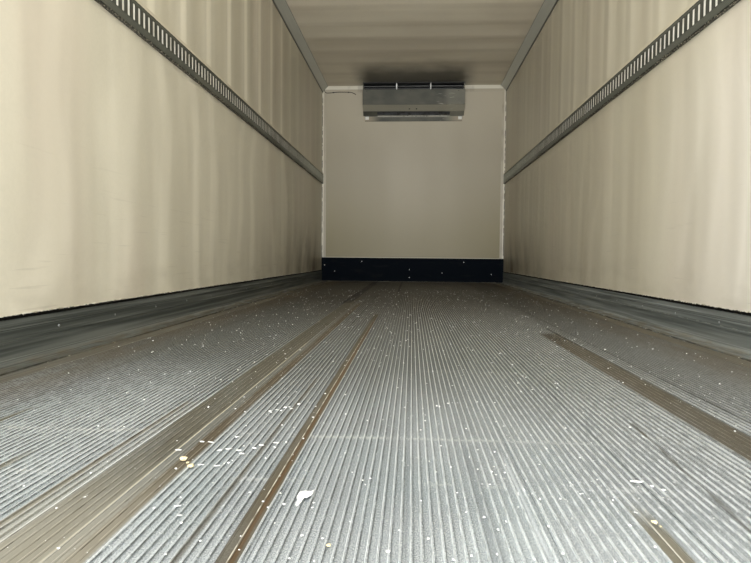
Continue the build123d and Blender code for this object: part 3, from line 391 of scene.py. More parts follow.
marks = [  # left, right, start, end, softness, share, tone
    (-0.521, -0.509, rear_y, -3.2, 0.003, 0.80, (112, 106, 92)),
    (-0.507, -0.489, rear_y, -3.2, 0.003, 0.35, (140, 138, 128)),
    (-0.4865, -0.4820, rear_y, -3.1, 0.001, 0.70, (232, 234, 230)),
    (-0.480, -0.408, rear_y, 0.4, 0.003, 0.95, (75, 71, 58)),
    (-0.4085, -0.4050, rear_y, -2.2, 0.0012, 0.80, (170, 162, 134)),
    (-0.404, -0.386, rear_y, -0.1, 0.003, 0.90, (90, 89, 81)),
    (-0.386, -0.359, rear_y, -0.2, 0.003, 0.95, (72, 62, 44)),
    (-0.2150, -0.1885, rear_y, -1.0, 0.0015, 0.97, (78, 71, 55)),
    (-0.2155, -0.2125, rear_y, -1.2, 0.0012, 0.85, (52, 38, 18)),
    (-0.1990, -0.1925, rear_y, -1.2, 0.0015, 0.85, (80, 60, 34)),
    (-0.264, -0.257, rear_y, -2.9, 0.002, 0.65, (88, 82, 68)),
    (0.583, 0.662, rear_y, -1.8, 0.003, 0.97, (70, 64, 51)),
    (0.658, 0.665, rear_y, -1.6, 0.0015, 0.75, (42, 38, 30)),
    (0.3021, 0.3279, rear_y, -3.76, 0.0010, 0.92, (104, 99, 83)),
    (0.3140, 0.3156, rear_y, -3.77, 0.0008, 0.80, (228, 226, 214)),
    (0.094, 0.114, -4.05, -3.50, 0.006, 0.35, (96, 101, 104)),
    (0.1620, 0.1675, -4.00, -3.55, 0.0015, 0.35, (226, 232, 236)),
    (-0.852, -0.838, -3.62, -3.30, 0.002, 0.75, (96, 90, 66)),
    (-0.662, -0.648, -3.84, -3.60, 0.002, 0.70, (104, 96, 72)),
    (-0.510, -0.440, -0.3, front_y, 0.008, 0.75, (14, 14, 13)),
    (-0.300, -0.292, -1.6, front_y, 0.003, 0.60, (20, 19, 17)),
    (-0.136, -0.116, 1.2, front_y, 0.005, 0.80, (12, 12, 12)),
    (-0.9115, -0.9088, rear_y, 0.0, 0.001, 0.45, (190, 188, 178)),
    (0.714, 0.724, rear_y, front_y, 0.002, 0.85, (40, 39, 35)),
    (0.8965, 0.8990, rear_y, front_y, 0.001, 0.35, (176, 174, 166)),
    (-0.907, -0.893, rear_y, front_y, 0.004, 0.35, (70, 68, 60)),
]
for left, right, start, end, soft, share, tone in marks:
    mark = stripe(left, right, start, end, soft)
    metal_tone = deck.mix(mark * share * (0.82 + patches * 0.18), metal_tone, tone)
wide_stain = stripe(-0.520, -0.358, rear_y, -1.5)
olive_stain = stripe(0.583, 0.662, rear_y, -1.8)
stained = wide_stain + olive_stain + stripe(-0.2150, -0.1885, rear_y, -1.0)
# Inside the stains the rib edges carry a painted highlight and broken dashes of painted shadow.
stain_rib_highlight = rib_polish_and_highlight * broken * (wide_stain + olive_stain * 0.3)
dashes = deck.noise(46, (1, 0.3, 1), shift=2).rise(0.57, 0.64)
light_line = abs(deck.x + 0.2005).rise(0.0012, 0.0005) * (broken * 0.8 + 0.2)
from_scratch = abs(deck.x - 0.463 - (deck.y + 3.41) * 0.059)
scratch_head = deck.y.rise(-3.46, -3.42) * deck.y.rise(-3.33, -3.36)
dark_scratch = from_scratch.rise(0.0034, 0.0014) * deck.y.rise(-3.36, -3.42) * 0.6
dark_scratch = dark_scratch + from_scratch.rise(0.006, 0.004) * scratch_head * 0.45
beside_kick = from_middle.rise(0.84, 1.04) * (0.25 + patches * 0.25)
edge_dirt = from_middle.rise(1.03, 1.13) * (0.35 + patches * 0.45)
edge_strip = from_middle.rise(ribbed_half - 0.001, ribbed_half + 0.001)
side_lines = deck.noise(120, (1, 0.01, 1), detail=3) * edge_strip
deck.wear(
    colour=deck.layers(
        metal_tone,
        (wide_stain * deck.y.rise(-3.55, -4.05) * 0.6, (150, 146, 131)),
        # Painted highlight and dashes of painted shadow on the ribs inside the stains.
        (stain_rib_highlight * 0.6, (204, 199, 182)),
        (rib_shadow * dashes * wide_stain * 0.85, (46, 36, 22)),
        (light_line * deck.y.rise(-1.4, -2.4) * 0.8, (216, 212, 196)),
        (dark_scratch, (62, 58, 47)),
        (beside_kick, (98, 86, 66)),
        (edge_dirt, (100, 95, 81)),
        (side_lines.rise(0.50, 0.58) * 0.5, (52, 49, 42)),
        (side_lines.rise(0.62, 0.70) * 0.6, (150, 150, 142)),
    ),
    roughness=0.60 - rib_polish_and_highlight * 0.22 + stained * 0.12 + (mottled - 0.5) * 0.2 + far * 0.1,
    metallic=0.18 + rib_polish_and_highlight * 0.25,
    height=speckle * 0.6 + deck.noise(1500, detail=1) * 0.4,
    depth=0.0003,
)
paint(deck, "floor_deck")


def block(low, high):
    """A plain block between two corners, to be worked on."""
    bpy.ops.mesh.primitive_cube_add(size=1)
    piece = bpy.context.object
    for corner in piece.data.vertices:
        corner.co = [high[axis] if corner.co[axis] > 0 else low[axis] for axis in range(3)]
    return piece


def reshape(operator, **settings):
    """Runs one edit-mode operator on the whole of the active piece."""
    bpy.ops.object.mode_set(mode="EDIT")
    bpy.ops.mesh.select_all(action="SELECT")
    operator(**settings)
    bpy.ops.object.mode_set(mode="OBJECT")


def dried_spill(first_rib, last_rib, far_end):
    """A spill that dried between two ribs, just under their tops, thinning out at its far end."""
    left, right = (-ribbed_half + rib_pitch * (rib + 0.5) for rib in (first_rib, last_rib))
    near_end = deck_low.y + 0.003
    spill = block((left, near_end, valley_level - 0.0003), (right, far_end, floor_level - 0.0005))
    for part in (0.3, 0.6, 0.85):
        cut = near_end + (far_end - near_end) * part
        reshape(bpy.ops.mesh.bisect, plane_co=(0, cut, 0), plane_no=(0, 1, 0))
    for corner in spill.data.vertices:
        if corner.co.y > far_end - 0.01 and corner.co.z > valley_level:
            corner.co.z = valley_level + 0.0001
    return spill


spills = (  # word, first and last rib, far end
    ("wide", 46, 56, 0.4),
    ("narrow", 67, 69, -1.0),
    ("right", 129, 135, -1.9),
    ("short", 107, 109, -3.84),
)
for word, first_rib, last_rib, far_end in spills:
    dress(dried_spill(first_rib, last_rib, far_end), "dried_spill_" + word, deck)

# Floor panel: the insulated panel under the deck, in a white glass-reinforced skin that is
# bonded to its foam. Spray from the road has left it grubby underneath.
insulation = Finish("floor_panel_skin", Roughness=0.6)
underside_dirt = insulation.noise(6, detail=5).rise(0.4, 0.7)
insulation.wear(
    colour=insulation.mix(underside_dirt, (196, 196, 190), (128, 120, 104)),
    height=insulation.noise(200),
    depth=0.0004,
)
paint(insulation, "floor_panel")


# Crumbs on the floor: flakes of ice-white packing and dry crumbs that the last load left.
# Each is a small lump with its corners pushed about, lying on the ribs.
def crumb(seed):
    """One irregular crumb of unit radius, standing on the origin."""
    shaping = Random(seed)
    bpy.ops.mesh.primitive_ico_sphere_add(subdivisions=1, radius=1)
    piece = bpy.context.object
    for corner in piece.data.vertices:
        corner.co *= 0.7 + 0.6 * shaping.random()
    lowest = min(corner.co.z for corner in piece.data.vertices)
    for corner in piece.data.vertices:
        corner.co.z -= lowest
    return piece


crumb_forms = [crumb(seed) for seed in range(12)]


def scatter(places):
    """Crumbs at (x, y, size, flatness, length) places, joined as one mesh."""
    bpy.ops.object.select_all(action="DESELECT")
    for number, (x, y, size, flat, long) in enumerate(places):
        piece = placed(crumb_forms[number % len(crumb_forms)], (x, y, floor_level))
        piece.scale = (size * long, size, size * flat)
        piece.rotation_euler.z = number if long == 1 else 0.4 * sin(number * 5)
    return joined(piece)


white_crumb = Finish("white_crumbs", Roughness=0.8)
white_crumb.wear(colour=white_crumb.mix(white_crumb.noise(300), (206, 208, 206), (236, 236, 232)))
cream_crumb = Finish("cream_crumbs", Roughness=0.8)
cream_crumb.wear(colour=cream_crumb.mix(cream_crumb.noise(300), (200, 182, 132), (224, 214, 182)))
chance = Random(7)
small_crumbs = [
    (-0.305, -3.331, 0.004, 0.4, 1), (-0.279, -3.294, 0.005, 0.4, 1), (-0.253, -3.264, 0.004, 0.5, 1),
    (-0.300, -3.337, 0.002, 0.5, 1), (-0.282, -3.321, 0.003, 0.4, 1), (-0.271, -3.285, 0.002, 0.5, 1),
    (0.448, -3.387, 0.003, 0.4, 1), (0.091, -3.221, 0.003, 0.6, 1), (0.124, -3.721, 0.002, 0.5, 1),
    (0.188, -3.772, 0.002, 0.8, 1), (0.368, -3.708, 0.003, 0.4, 1), (-0.021, -3.940, 0.003, 0.4, 1),
    (-0.189, -3.830, 0.0018, 0.5, 1), (-0.201, -3.810, 0.0019, 0.5, 1), (-0.227, -3.781, 0.0022, 0.4, 1),
    (-0.170, -3.817, 0.0024, 0.4, 1), (-0.128, -3.908, 0.0024, 0.4, 1), (-0.129, -3.825, 0.0017, 0.4, 1),
]
for _ in range(90):
    x, y = chance.gauss(0.27, 0.10), chance.gauss(-3.735, 0.035)
    small_crumbs.append((x, y, chance.uniform(0.0006, 0.0015), 0.5, 1))
for _ in range(1900):
    along = -3.97 + 5.6 * chance.random() ** 1.7
    size = 0.0006 + 0.0017 * chance.random() ** 4 + 0.0003 * (along + 4)
    small_crumbs.append((chance.uniform(-1.1, 1.1), along, size, 0.6, 1))
for _ in range(150):
    along = chance.uniform(-3.9, -1.2)
    size = chance.uniform(0.0011, 0.0019) + 0.0005 * (along + 4)
    small_crumbs.append((chance.gauss(0.2, 0.35), along, size, 0.5, 1))
dress(scatter(small_crumbs), "floor_crumbs", white_crumb)
cream_places = [
    (-0.374, -3.656, 0.007, 0.5, 1), (-0.352, -3.683, 0.006, 0.5, 1), (-0.361, -3.669, 0.003, 0.6, 1),
    (0.321, -3.838, 0.0042, 0.6, 1), (0.325, -3.848, 0.002, 0.5, 1), (-0.092, -3.931, 0.003, 0.4, 1),
]
dress(scatter(cream_places), "cream_crumbs", cream_crumb)

chip_spots = [
    (-0.404, -3.603), (-0.378, -3.552), (-0.362, -3.555), (-0.332, -3.597), (-0.317, -3.589),
    (-0.297, -3.596), (-0.273, -3.582), (-0.265, -3.563), (-0.338, -3.672), (-0.309, -3.675),
    (-0.323, -3.517), (-0.287, -3.612), (-0.243, -3.548), (-0.314, -3.834), (-0.299, -3.864),
    (-0.294, -3.312), (-0.262, -3.301), (0.352, -3.690), (0.379, -3.722),
]
chips = [(x, y, chance.uniform(0.0019, 0.0032), 0.3, chance.uniform(1.5, 3.0)) for x, y in chip_spots]
dress(scatter(chips), "packing_chips", white_crumb)
for form in crumb_forms:
    bpy.data.objects.remove(form)

flake_outline = [
    (-0.155, -3.775), (-0.147, -3.770), (-0.140, -3.771), (-0.136, -3.766), (-0.136, -3.783),
    (-0.140, -3.792), (-0.146, -3.796), (-0.147, -3.809), (-0.148, -3.820), (-0.151, -3.824),
    (-0.154, -3.816), (-0.153, -3.803), (-0.157, -3.792),
]
bpy.ops.mesh.primitive_circle_add(vertices=len(flake_outline), radius=0.02, fill_type="NGON")
packing_flake = bpy.context.object
for corner, (x, y) in zip(packing_flake.data.vertices, reversed(flake_outline)):
    corner.co = (x, y, 0)
reshape(bpy.ops.mesh.quads_convert_to_tris, ngon_method="BEAUTY")
reshape(bpy.ops.mesh.subdivide, number_cuts=2)
reshape(bpy.ops.mesh.normals_make_consistent, inside=False)
for corner in packing_flake.data.vertices:
    corner.co.x += chance.uniform(-0.0003, 0.0003)
    corner.co.y += chance.uniform(-0.0005, 0.0005)
    corner.co.z = floor_level + 0.0004 + 0.0012 * chance.random()
modified(packing_flake, "SOLIDIFY", thickness=0.0009, offset=1)
bpy.ops.object.transform_apply(location=True, rotation=True, scale=True)
dress(packing_flake, "packing_flake", white_crumb)

# Walls: glass-reinforced skins on foam. The inner skin is cream and slightly wavy, because it
# is bonded over upright battens; its waves and batten crests are painted into the colour as
# highlight and shade, it is painted darker toward the front and lighter near the door, and it
# is grubby near the floor. The outer skin is white.
wall_inner = 1.230
batten_pitch = 0.405
batten_start = -1.41


def both(name):
    """The names of a piece's left and right nodes."""
    return name + "_left", name + "_right"


def battens(along):
    """A wave of 1 at each batten behind a skin and -1 between them."""
    turn = (along - batten_start) * (2 * pi / batten_pitch) + pi / 2
    return turn.sine()


def inner_skin(finish, cream, shade, wave_stretch, rosy_share=0.5):
    """Base colour and relief of a cream inner skin, waving along one direction, with the waves also painted into
    the colour as shade.
    """
    wave = finish.noise(0.8, wave_stretch, detail=1)
    ripple = finish.noise(2.3, wave_stretch, detail=1, shift=4)
    swell = wave.rise(0.25, 0.75)
    rosy = finish.noise(0.7, (1, 1.6, 0.5), shift=9).rise(0.42, 0.62)
    skin = finish.layers(
        cream,
        # The swell of the waves is painted into the colour as shade, in the cream and in the rosy tone.
        (swell * 0.5, shade),
        (rosy * rosy_share, finish.mix(swell, (212, 199, 184), (184, 172, 156))),
        (finish.noise(1.3, detail=5).rise(0.5, 0.75) * 0.16, shade),
        (finish.noise(85, detail=3).rise(0.4, 0.62) * 0.12, shade),
    )
    return skin, wave * 0.7 + ripple * 0.22 + finish.noise(260) * 0.005


wall = Finish("wall_skin")
inside = abs(wall.x).rise(wall_inner + 0.03, wall_inner + 0.01)
cream, wall_relief = inner_skin(wall, (217, 212, 194), (191, 185, 166), (1, 2.6, 0.35))
over_rail = wall.z.rise(1.62, 1.72)
under_rail = 1 - over_rail
bend = (wall.noise(0.8, (1, 1, 0.9), detail=1, shift=3) - 0.5) * 1.1 * under_rail
fold = battens(wall.y + bend)
loose = wall.noise(0.9, (1, 1.2, 0.4), shift=6).rise(0.4, 0.65)
fold_share = over_rail * 0.7 + under_rail * loose * 0.4
fold_share = fold_share * (wall.y.rise(2.0, 0.7) * 0.8 + 0.2)
# Batten crests carry painted highlight on the left wall and painted shade on the right, and the hollows between
# them painted shade.
crest_painted_light = (fold.rise(0.62, 1.0) * over_rail + fold.rise(0.1, 1.0) * under_rail) * fold_share
hollow_painted_shade = fold.rise(0.4, -0.8) * fold_share
# Masks for painted light and shade: darker toward the front and midway along, the right wall darker away from the
# door, and the right wall lighter near the door low down and above the rail.
right_side = wall.x.rise(-0.1, 0.1)
forward = wall.y.rise(-0.9, 3.2)
half_way = wall.y.rise(-3.4, -1.4) * wall.y.rise(3.2, 0.8)
sunlit = right_side * wall.y.rise(-1.2, -3.0) * wall.z.rise(1.9, 1.2)
foot_noise = wall.noise(8, (1, 0.4, 1), detail=5).rise(0.42, 0.75)
foot_grime = wall.z.rise(floor_level + 0.42, floor_level + 0.1) * foot_noise
# The walls are darker low down toward the front, in slanted plumes.
slanted = {0: (wall.y - wall.z * 0.35) * 3.0, 1: wall.z * 0.9}
plume = {"Vector": wall.node("CombineXYZ", {}, slanted), "Scale": 1.0, "Detail": 3}
plume = wall.node("TexNoise", {}, plume, "Fac").rise(0.36, 0.66)
front_foot_dark = wall.z.rise(floor_level + 0.85, floor_level + 0.15) * forward * (plume * 0.75 + forward * 0.45)
scratches = wall.noise(34, (1, 0.06, 1.6), detail=3).rise(0.66, 0.71) * wall.z.rise(1.3, 0.5)
cream = wall.layers(
    cream,
    # Painted shade toward the front, midway along and on the right wall away from the door; painted light on the
    # right wall near the door and above the rail.
    (forward * 0.14 + right_side * wall.y.rise(-3.4, -1.2) * 0.25, (164, 156, 133)),
    (half_way * 0.27, (164, 157, 135)),
    (sunlit * 0.75, (236, 233, 224)),
    (right_side * over_rail * 0.3, (226, 221, 204)),
    # Painted highlight on the left wall's crests, painted shade on the right wall's crests and in the hollows.
    (crest_painted_light * (1 - right_side) * 0.8, (240, 234, 215)),
    (crest_painted_light * right_side * 0.45, (146, 139, 118)),
    (hollow_painted_shade * 0.35, (158, 150, 128)),
    (foot_grime * 0.25, (128, 120, 102)),
    (front_foot_dark * 0.8, (92, 84, 68)),
    (scratches * 0.15, (120, 114, 100)),
)
streak_zone = wall.noise(0.7, (1, 1, 0.2), shift=5).rise(0.38, 0.62) * wall.z.rise(0.6, 2.9)
rain_streaks = wall.noise(22, (1, 1, 0.03), detail=5).rise(0.5, 0.74) * (streak_zone * 0.34 + 0.06)
splash_grain = wall.noise(34, (1, 1, 0.7), detail=8).rise(0.44, 0.72)
splash = wall.z.rise(0.95, 0.15) * (splash_grain * 0.42 + 0.10)
white_skin = wall.layers((208, 211, 210), (rain_streaks, (160, 160, 152)), (splash, (142, 134, 118)))
outer_relief = wall.noise(1.6, (1, 1, 0.4)) * 0.1
wall.wear(
    colour=wall.mix(inside, white_skin, cream),
    roughness=0.30 + inside * 0.14 + foot_grime * 0.2 + splash * 0.4,
    height=(wall_relief + fold * fold_share * 0.10) * inside + outer_relief * (1 - inside),
    depth=0.024,
)
paint(wall, *both("side_wall"))

front = Finish("front_wall_skin")
behind = front.y.rise(bulkhead_y + 0.05, bulkhead_y + 0.02)
cream, bulkhead_relief = inner_skin(front, (158, 151, 132), (142, 135, 115), (2.2, 1, 0.5), 0.06)
weathered = front.noise(14, (1, 1, 0.06), detail=4).rise(0.5, 0.75) * 0.3
housed = abs(front.x).rise(0.662, 0.658) * front.z.rise(2.512, 2.516)
plate_low, plate_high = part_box("front_kick_plate")
# The bulkhead is painted lighter toward the top and darker toward the bottom, and near black as painted shade
# where the evaporator housing covers it.
cream = front.layers(
    cream,
    (front.z.rise(1.9, 2.8) * 0.45, (190, 182, 164)),
    (front.z.rise(2.0, 0.7) * 0.66, (117, 108, 66)),
    (housed, (22, 23, 24)),
    (front.z.rise(plate_high.z + 0.012, plate_high.z + 0.008) * 0.6, (196, 190, 172)),
)
front.wear(
    colour=front.mix(behind, front.mix(weathered, (205, 208, 207), (168, 167, 158)), cream),
    roughness=0.34 + behind * 0.12,
    height=bulkhead_relief * behind,
    depth=0.004,
)
paint(front, "front_wall")

# Roof panel: the same skins. The ceiling waves from side to side, with painted shade along the
# battens and toward the front, and a dark smudge lies in front of the evaporator's outlet.
ceiling_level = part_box("roof_panel")[0].z
outlet_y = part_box("evaporator_housing")[0].y
roof = Finish("roof_skin")
under = roof.z.rise(ceiling_level + 0.03, ceiling_level + 0.01)
cream, ceiling_relief = inner_skin(roof, (240, 233, 215), (214, 206, 187), (0.35, 2.2, 1), 0.3)
ceiling_fold = battens(roof.y)
smudge_edge = (roof.noise(4, detail=5) - 0.5) * 0.45
smudge = (roof.y + smudge_edge).rise(outlet_y - 1.05, outlet_y - 0.25)
smudge = smudge * (abs(roof.x) + smudge_edge * 0.4).rise(0.84, 0.56)
# Painted shade: the ceiling darkens toward the front and along the battens.
cream = roof.layers(
    cream,
    (roof.y.rise(-1.0, 3.0) * 0.42, (160, 151, 129)),
    (ceiling_fold.rise(0.3, 1.0) * 0.2, (160, 150, 129)),
    (smudge * 0.82, (50, 50, 45)),
)
leaf_dirt = roof.noise(1.7, (1, 0.7, 1), detail=8).rise(0.46, 0.74) * 0.24
leaf_dirt = leaf_dirt + roof.noise(60, detail=3).rise(0.62, 0.70) * 0.22
edge_film = abs(roof.x).rise(0.80, 1.26) * roof.noise(11, (1, 0.5, 1), detail=7).rise(0.36, 0.7)
leaf_dirt = leaf_dirt + edge_film * 0.32
roof.wear(
    colour=roof.mix(under, roof.mix(leaf_dirt, (202, 205, 204), (146, 144, 133)), cream),
    roughness=0.36 + leaf_dirt * 0.3 + under * 0.1,
    height=(ceiling_relief + ceiling_fold * 0.08) * under,
    depth=0.020,
)
paint(roof, "roof_panel")

# Edge profiles: satin anodised aluminium angles round the panels, with drawing lines along
# their length, and rounded corner posts at the front. Rivets hold the long ones at the sides.
edges = (*both("roof_edge"), *both("bottom_rail"))
crosses = ("front_bottom_profile", "rain_gutter")
posts = both("front_corner")
profiles = [  # finish, stretch of its drawing lines, light and dark tone, pieces
    ("edge_aluminium", (1, 0.01, 1), (198, 200, 202), (170, 173, 176), edges),
    ("cross_aluminium", (0.01, 1, 1), (198, 200, 202), (170, 173, 176), crosses),
    ("post_aluminium", (1, 1, 0.01), (206, 208, 210), (184, 187, 190), posts),
]
for name, stretch, light_tone, dark_tone, pieces in profiles:
    drawn = Finish(name, Metallic=0.85)
    lines = drawn.noise(300, stretch, detail=3)
    grime = drawn.noise(9, detail=9).rise(0.5, 0.82) * 0.5
    drawn.wear(
        colour=drawn.mix(grime * 0.5, drawn.mix(lines, light_tone, dark_tone), (110, 104, 92)),
        roughness=0.30 + lines * 0.14 + grime * 0.25,
        height=lines,
        depth=0.0002,
    )
    paint(drawn, *pieces)


def rivet(radius):
    """Domed rivet head standing along +Z at the origin."""
    bpy.ops.mesh.primitive_uv_sphere_add(segments=8, ring_count=6, radius=radius)
    head = bpy.context.object
    reshape(bpy.ops.mesh.bisect, plane_co=(0, 0, 0), plane_no=(0, 0, 1), use_fill=True, clear_inner=True)
    for corner in head.data.vertices:
        corner.co.z *= 0.45
    return head


rivet_metal = Finish("rivet_metal", Metallic=0.9, Roughness=0.32)
rivet_metal.wear(colour=rivet_metal.mix(rivet_metal.noise(50), (188, 190, 192), (150, 152, 152)))
rivet_pitch = 0.12
rivet_spots = []
edge_low, edge_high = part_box("roof_edge_right")
rail_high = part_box("bottom_rail_right")[1]
for i in range(int((edge_high.y - edge_low.y - 0.1) / rivet_pitch)):
    y = edge_low.y + 0.08 + i * rivet_pitch
    for side in (-1, 1):
        rivet_spots.append(((side * edge_high.x, y, edge_low.z + 0.022), (side, 0, 0)))
        rivet_spots.append(((side * rail_high.x, y, rail_high.z - 0.018), (side, 0, 0)))
dress(stamp(rivet(0.0055), rivet_spots), "edge_rivets", rivet_metal)

# Rear frame: welded stainless posts, header and sill, brushed along their length. Pallets
# have scuffed the sill, and rubber buffers stand at its ends.
stainless = Finish("frame_stainless", Metallic=0.95)
upright = abs(stainless.x).rise(1.225, 1.235)
brushing = stainless.noise(500, (1, 1, 0.008)) * upright
brushing = brushing + stainless.noise(500, (0.008, 1, 1)) * (1 - upright)
frame_grime = stainless.noise(4, detail=6).rise(0.45, 0.78)
sill_scuff = stainless.z.rise(0.30, 0.24) * stainless.noise(40, (0.3, 1, 1), detail=4).rise(0.45, 0.6)
brushed_tone = stainless.mix(brushing, (200, 202, 204), (168, 170, 172))
stainless.wear(
    colour=stainless.mix(frame_grime * 0.4, brushed_tone, (112, 106, 94)),
    roughness=0.26 + brushing * 0.16 + frame_grime * 0.25 + sill_scuff * 0.2,
    height=brushing * 0.6 + sill_scuff * 0.4,
    depth=0.0003,
)
paint(stainless, "rear_frame")

rubber = Finish("black_rubber")
bloom = rubber.noise(9, detail=6).rise(0.4, 0.75)
rubber.wear(
    colour=rubber.mix(bloom * 0.6, (26, 26, 27), (70, 68, 64)),
    roughness=0.72 + bloom * 0.2,
    height=rubber.noise(180, detail=3),
    depth=0.0006,
)
paint(rubber, "rear_buffers", "door_stops", *both("door_seal"))

# Kick plates: dull angle profiles at the foot of each side wall, streaked by pallets and
# dusty on the foot. The right plate is painted lighter than the left, and painted highlights
# run along the bends. A ragged bead of sealant runs along the top, and rivets along the web.
kick_low, kick_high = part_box("kick_plate_right")
kick_top = kick_high.z
kick_foot = kick_low.z
kick = Finish("kick_plate_metal")
along_streak = kick.noise(70, (1, 0.015, 1), detail=4)
rub = kick.noise(22, (1, 0.03, 1), detail=4).rise(0.52, 0.7)
foot_dust = kick.noise(25, (1, 0.3, 1), detail=4).rise(0.3, 0.7)
foot_dust = kick.z.rise(kick_foot + 0.02, kick_foot + 0.002) * foot_dust
# The right plate is painted as a lighter, lit copy of the same metal, and its dark band is weaker.
kick_right = kick.x.rise(-0.1, 0.1)
kick_light = kick.mix(kick_right, (110, 114, 109), (134, 139, 136))
kick_dark = kick.mix(kick_right, (68, 72, 69), (88, 93, 90))
dark_band = kick.z.rise(kick_top - 0.036, kick_top - 0.042)
dark_band = dark_band * kick.z.rise(kick_top - 0.104, kick_top - 0.092)
gaps = kick.noise(90, (1, 0.3, 1), detail=3)
# Two dark lines run along the web.
groove_line = abs(kick.z - kick_top + 0.036).rise(0.0018, 0.0010)
lower_dark_line = abs(kick.z - kick_top + 0.072).rise(0.0020, 0.0010)
lower_dark_line = lower_dark_line * kick.noise(1.1, shift=3).rise(0.5, 0.6)
# Painted highlights along the bends: on the right plate's web and at the foot of both plates.
bend_highlight = abs(kick.z - kick_top + 0.063).rise(0.0014, 0.0007) * gaps.rise(0.46, 0.56) * kick_right
foot_bend = abs(kick.z - kick_foot - 0.020).rise(0.0018, 0.0009)
bend_highlight = bend_highlight + foot_bend * (0.5 + gaps * 0.4)
foot_dirt = kick.noise(3, (1, 0.6, 1), detail=3, shift=2).rise(0.38, 0.60)
foot_line = abs(abs(kick.x) - kick_low.x - 0.003).rise(0.0060, 0.0025)
kick_teeth = (kick.noise(260, (1, 0.5, 1)) - 0.5) * 0.008
top_gap = (kick.z + kick_teeth).rise(kick_top - 0.0050, kick_top - 0.0040)
kick.wear(
    colour=kick.layers(
        kick.mix(along_streak.rise(0.34, 0.66), kick_dark, kick_light),
        (dark_band * (0.32 - kick_right * 0.14), (44, 48, 45)),
        (rub * 0.35, (134, 136, 131)),
        (groove_line * 0.8 + lower_dark_line * 0.6, (26, 28, 27)),
        (bend_highlight * 0.5, (178, 180, 172)),
        (foot_dust * 0.75, (96, 86, 66)),
        (foot_line * foot_dirt * gaps.rise(0.60, 0.44) * 0.85, (30, 26, 19)),
        (foot_line * gaps.rise(0.66, 0.71), (206, 200, 184)),
        (top_gap, (9, 10, 9)),
    ),
    roughness=0.48 - rub * 0.14 + foot_dust * 0.3,
    metallic=0.25 - foot_dust * 0.2,
    height=along_streak,
    depth=0.0005,
)
paint(kick, *both("kick_plate"))

sealant = Finish("sealant", Roughness=0.75, Specular_IOR_Level=0.1)
teeth = (sealant.noise(240, (1, 0.5, 1)) - 0.5) * 0.013
gap_dark = (sealant.z + teeth).rise(kick_top + 0.0072, kick_top + 0.0064)
bead_tone = sealant.mix(sealant.noise(30, detail=5).rise(0.4, 0.65), (214, 210, 196), (150, 144, 126))
sealant.wear(
    colour=sealant.mix(gap_dark, bead_tone, (9, 9, 8)),
    height=sealant.noise(120, detail=3),
    depth=0.0006,
)
sides = ((-1, "left"), (1, "right"))
for side, word in sides:
    bpy.ops.mesh.primitive_grid_add(x_subdivisions=1, y_subdivisions=900, size=1)
    bead = bpy.context.object
    ragged = Random(20 + side)
    length = kick_high.y - kick_low.y - 0.01
    level = 0.0
    for corner in sorted(bead.data.vertices, key=lambda v: (v.co.x, v.co.y)):
        upper = corner.co.x > 0
        y = (kick_low.y + kick_high.y) / 2 + corner.co.y * length
        level = 0.5 * level + ragged.uniform(-0.0022, 0.0022)
        z = kick_top + (0.0082 + level + 0.0010 * sin(y * 31) if upper else -0.0032)
        x = side * (wall_inner - (0.0008 if upper else 0.0060))
        corner.co = (x, y, max(z, kick_top + 0.0012) if upper else z)
    modified(bead, "SOLIDIFY", thickness=0.0022, offset=0)
    reshape(bpy.ops.mesh.normals_make_consistent, inside=False)
    dress(bead, "kick_sealant_" + word, sealant)

kick_face = wall_inner - 0.005
kick_rivet_pitch = 0.4
kick_rivet_level = floor_level + 0.092
kick_rivets = []
for i in range(19):
    for side, first in ((-1, 2.035), (1, 2.475)):
        y = camera_y + first + (i - 4) * kick_rivet_pitch
        if kick_low.y + 0.05 < y < kick_high.y - 0.05:
            kick_rivets.append(((side * kick_face, y, kick_rivet_level), (-side, 0, 0)))
dress(stamp(rivet(0.005), kick_rivets), "kick_rivets", rivet_metal)

# Front kick plate: black sheet across the foot of the front wall, dusty at its lower edge,
# held by small screws that were put in by eye.
black_sheet = Finish("black_sheet", Specular_IOR_Level=0.05)
plate_dust = black_sheet.z.rise(floor_level + 0.014, floor_level)
plate_dust = plate_dust * black_sheet.noise(30, detail=5).rise(0.35, 0.7)
plate_scuff = black_sheet.noise(18, (0.25, 1, 1), detail=5).rise(0.58, 0.72)
black_sheet.wear(
    colour=black_sheet.mix(plate_dust * 0.3 + plate_scuff * 0.03, (9, 17, 24), (110, 104, 90)),
    roughness=0.66 + plate_dust * 0.25 + plate_scuff * 0.1,
    height=black_sheet.noise(150, detail=3),
    depth=0.0004,
)
paint(black_sheet, "front_kick_plate")
screw_spots = [
    (-0.68, 0.27), (-1.19, 0.217), (-1.05, 0.135), (-0.03, 0.165),
    (-0.03, 0.057), (0.41, 0.123), (0.70, 0.27), (1.07, 0.11),
]
plate_screws = [((x, plate_low.y, floor_level + z), (0, -1, 0)) for x, z in screw_spots]
screw_zinc = Finish("screw_zinc", Metallic=0.3, Roughness=0.4)
screw_zinc.wear(colour=screw_zinc.mix(screw_zinc.noise(80), (253, 254, 253), (232, 234, 230)))
dress(stamp(rivet(0.0052), plate_screws), "front_plate_screws", screw_zinc)

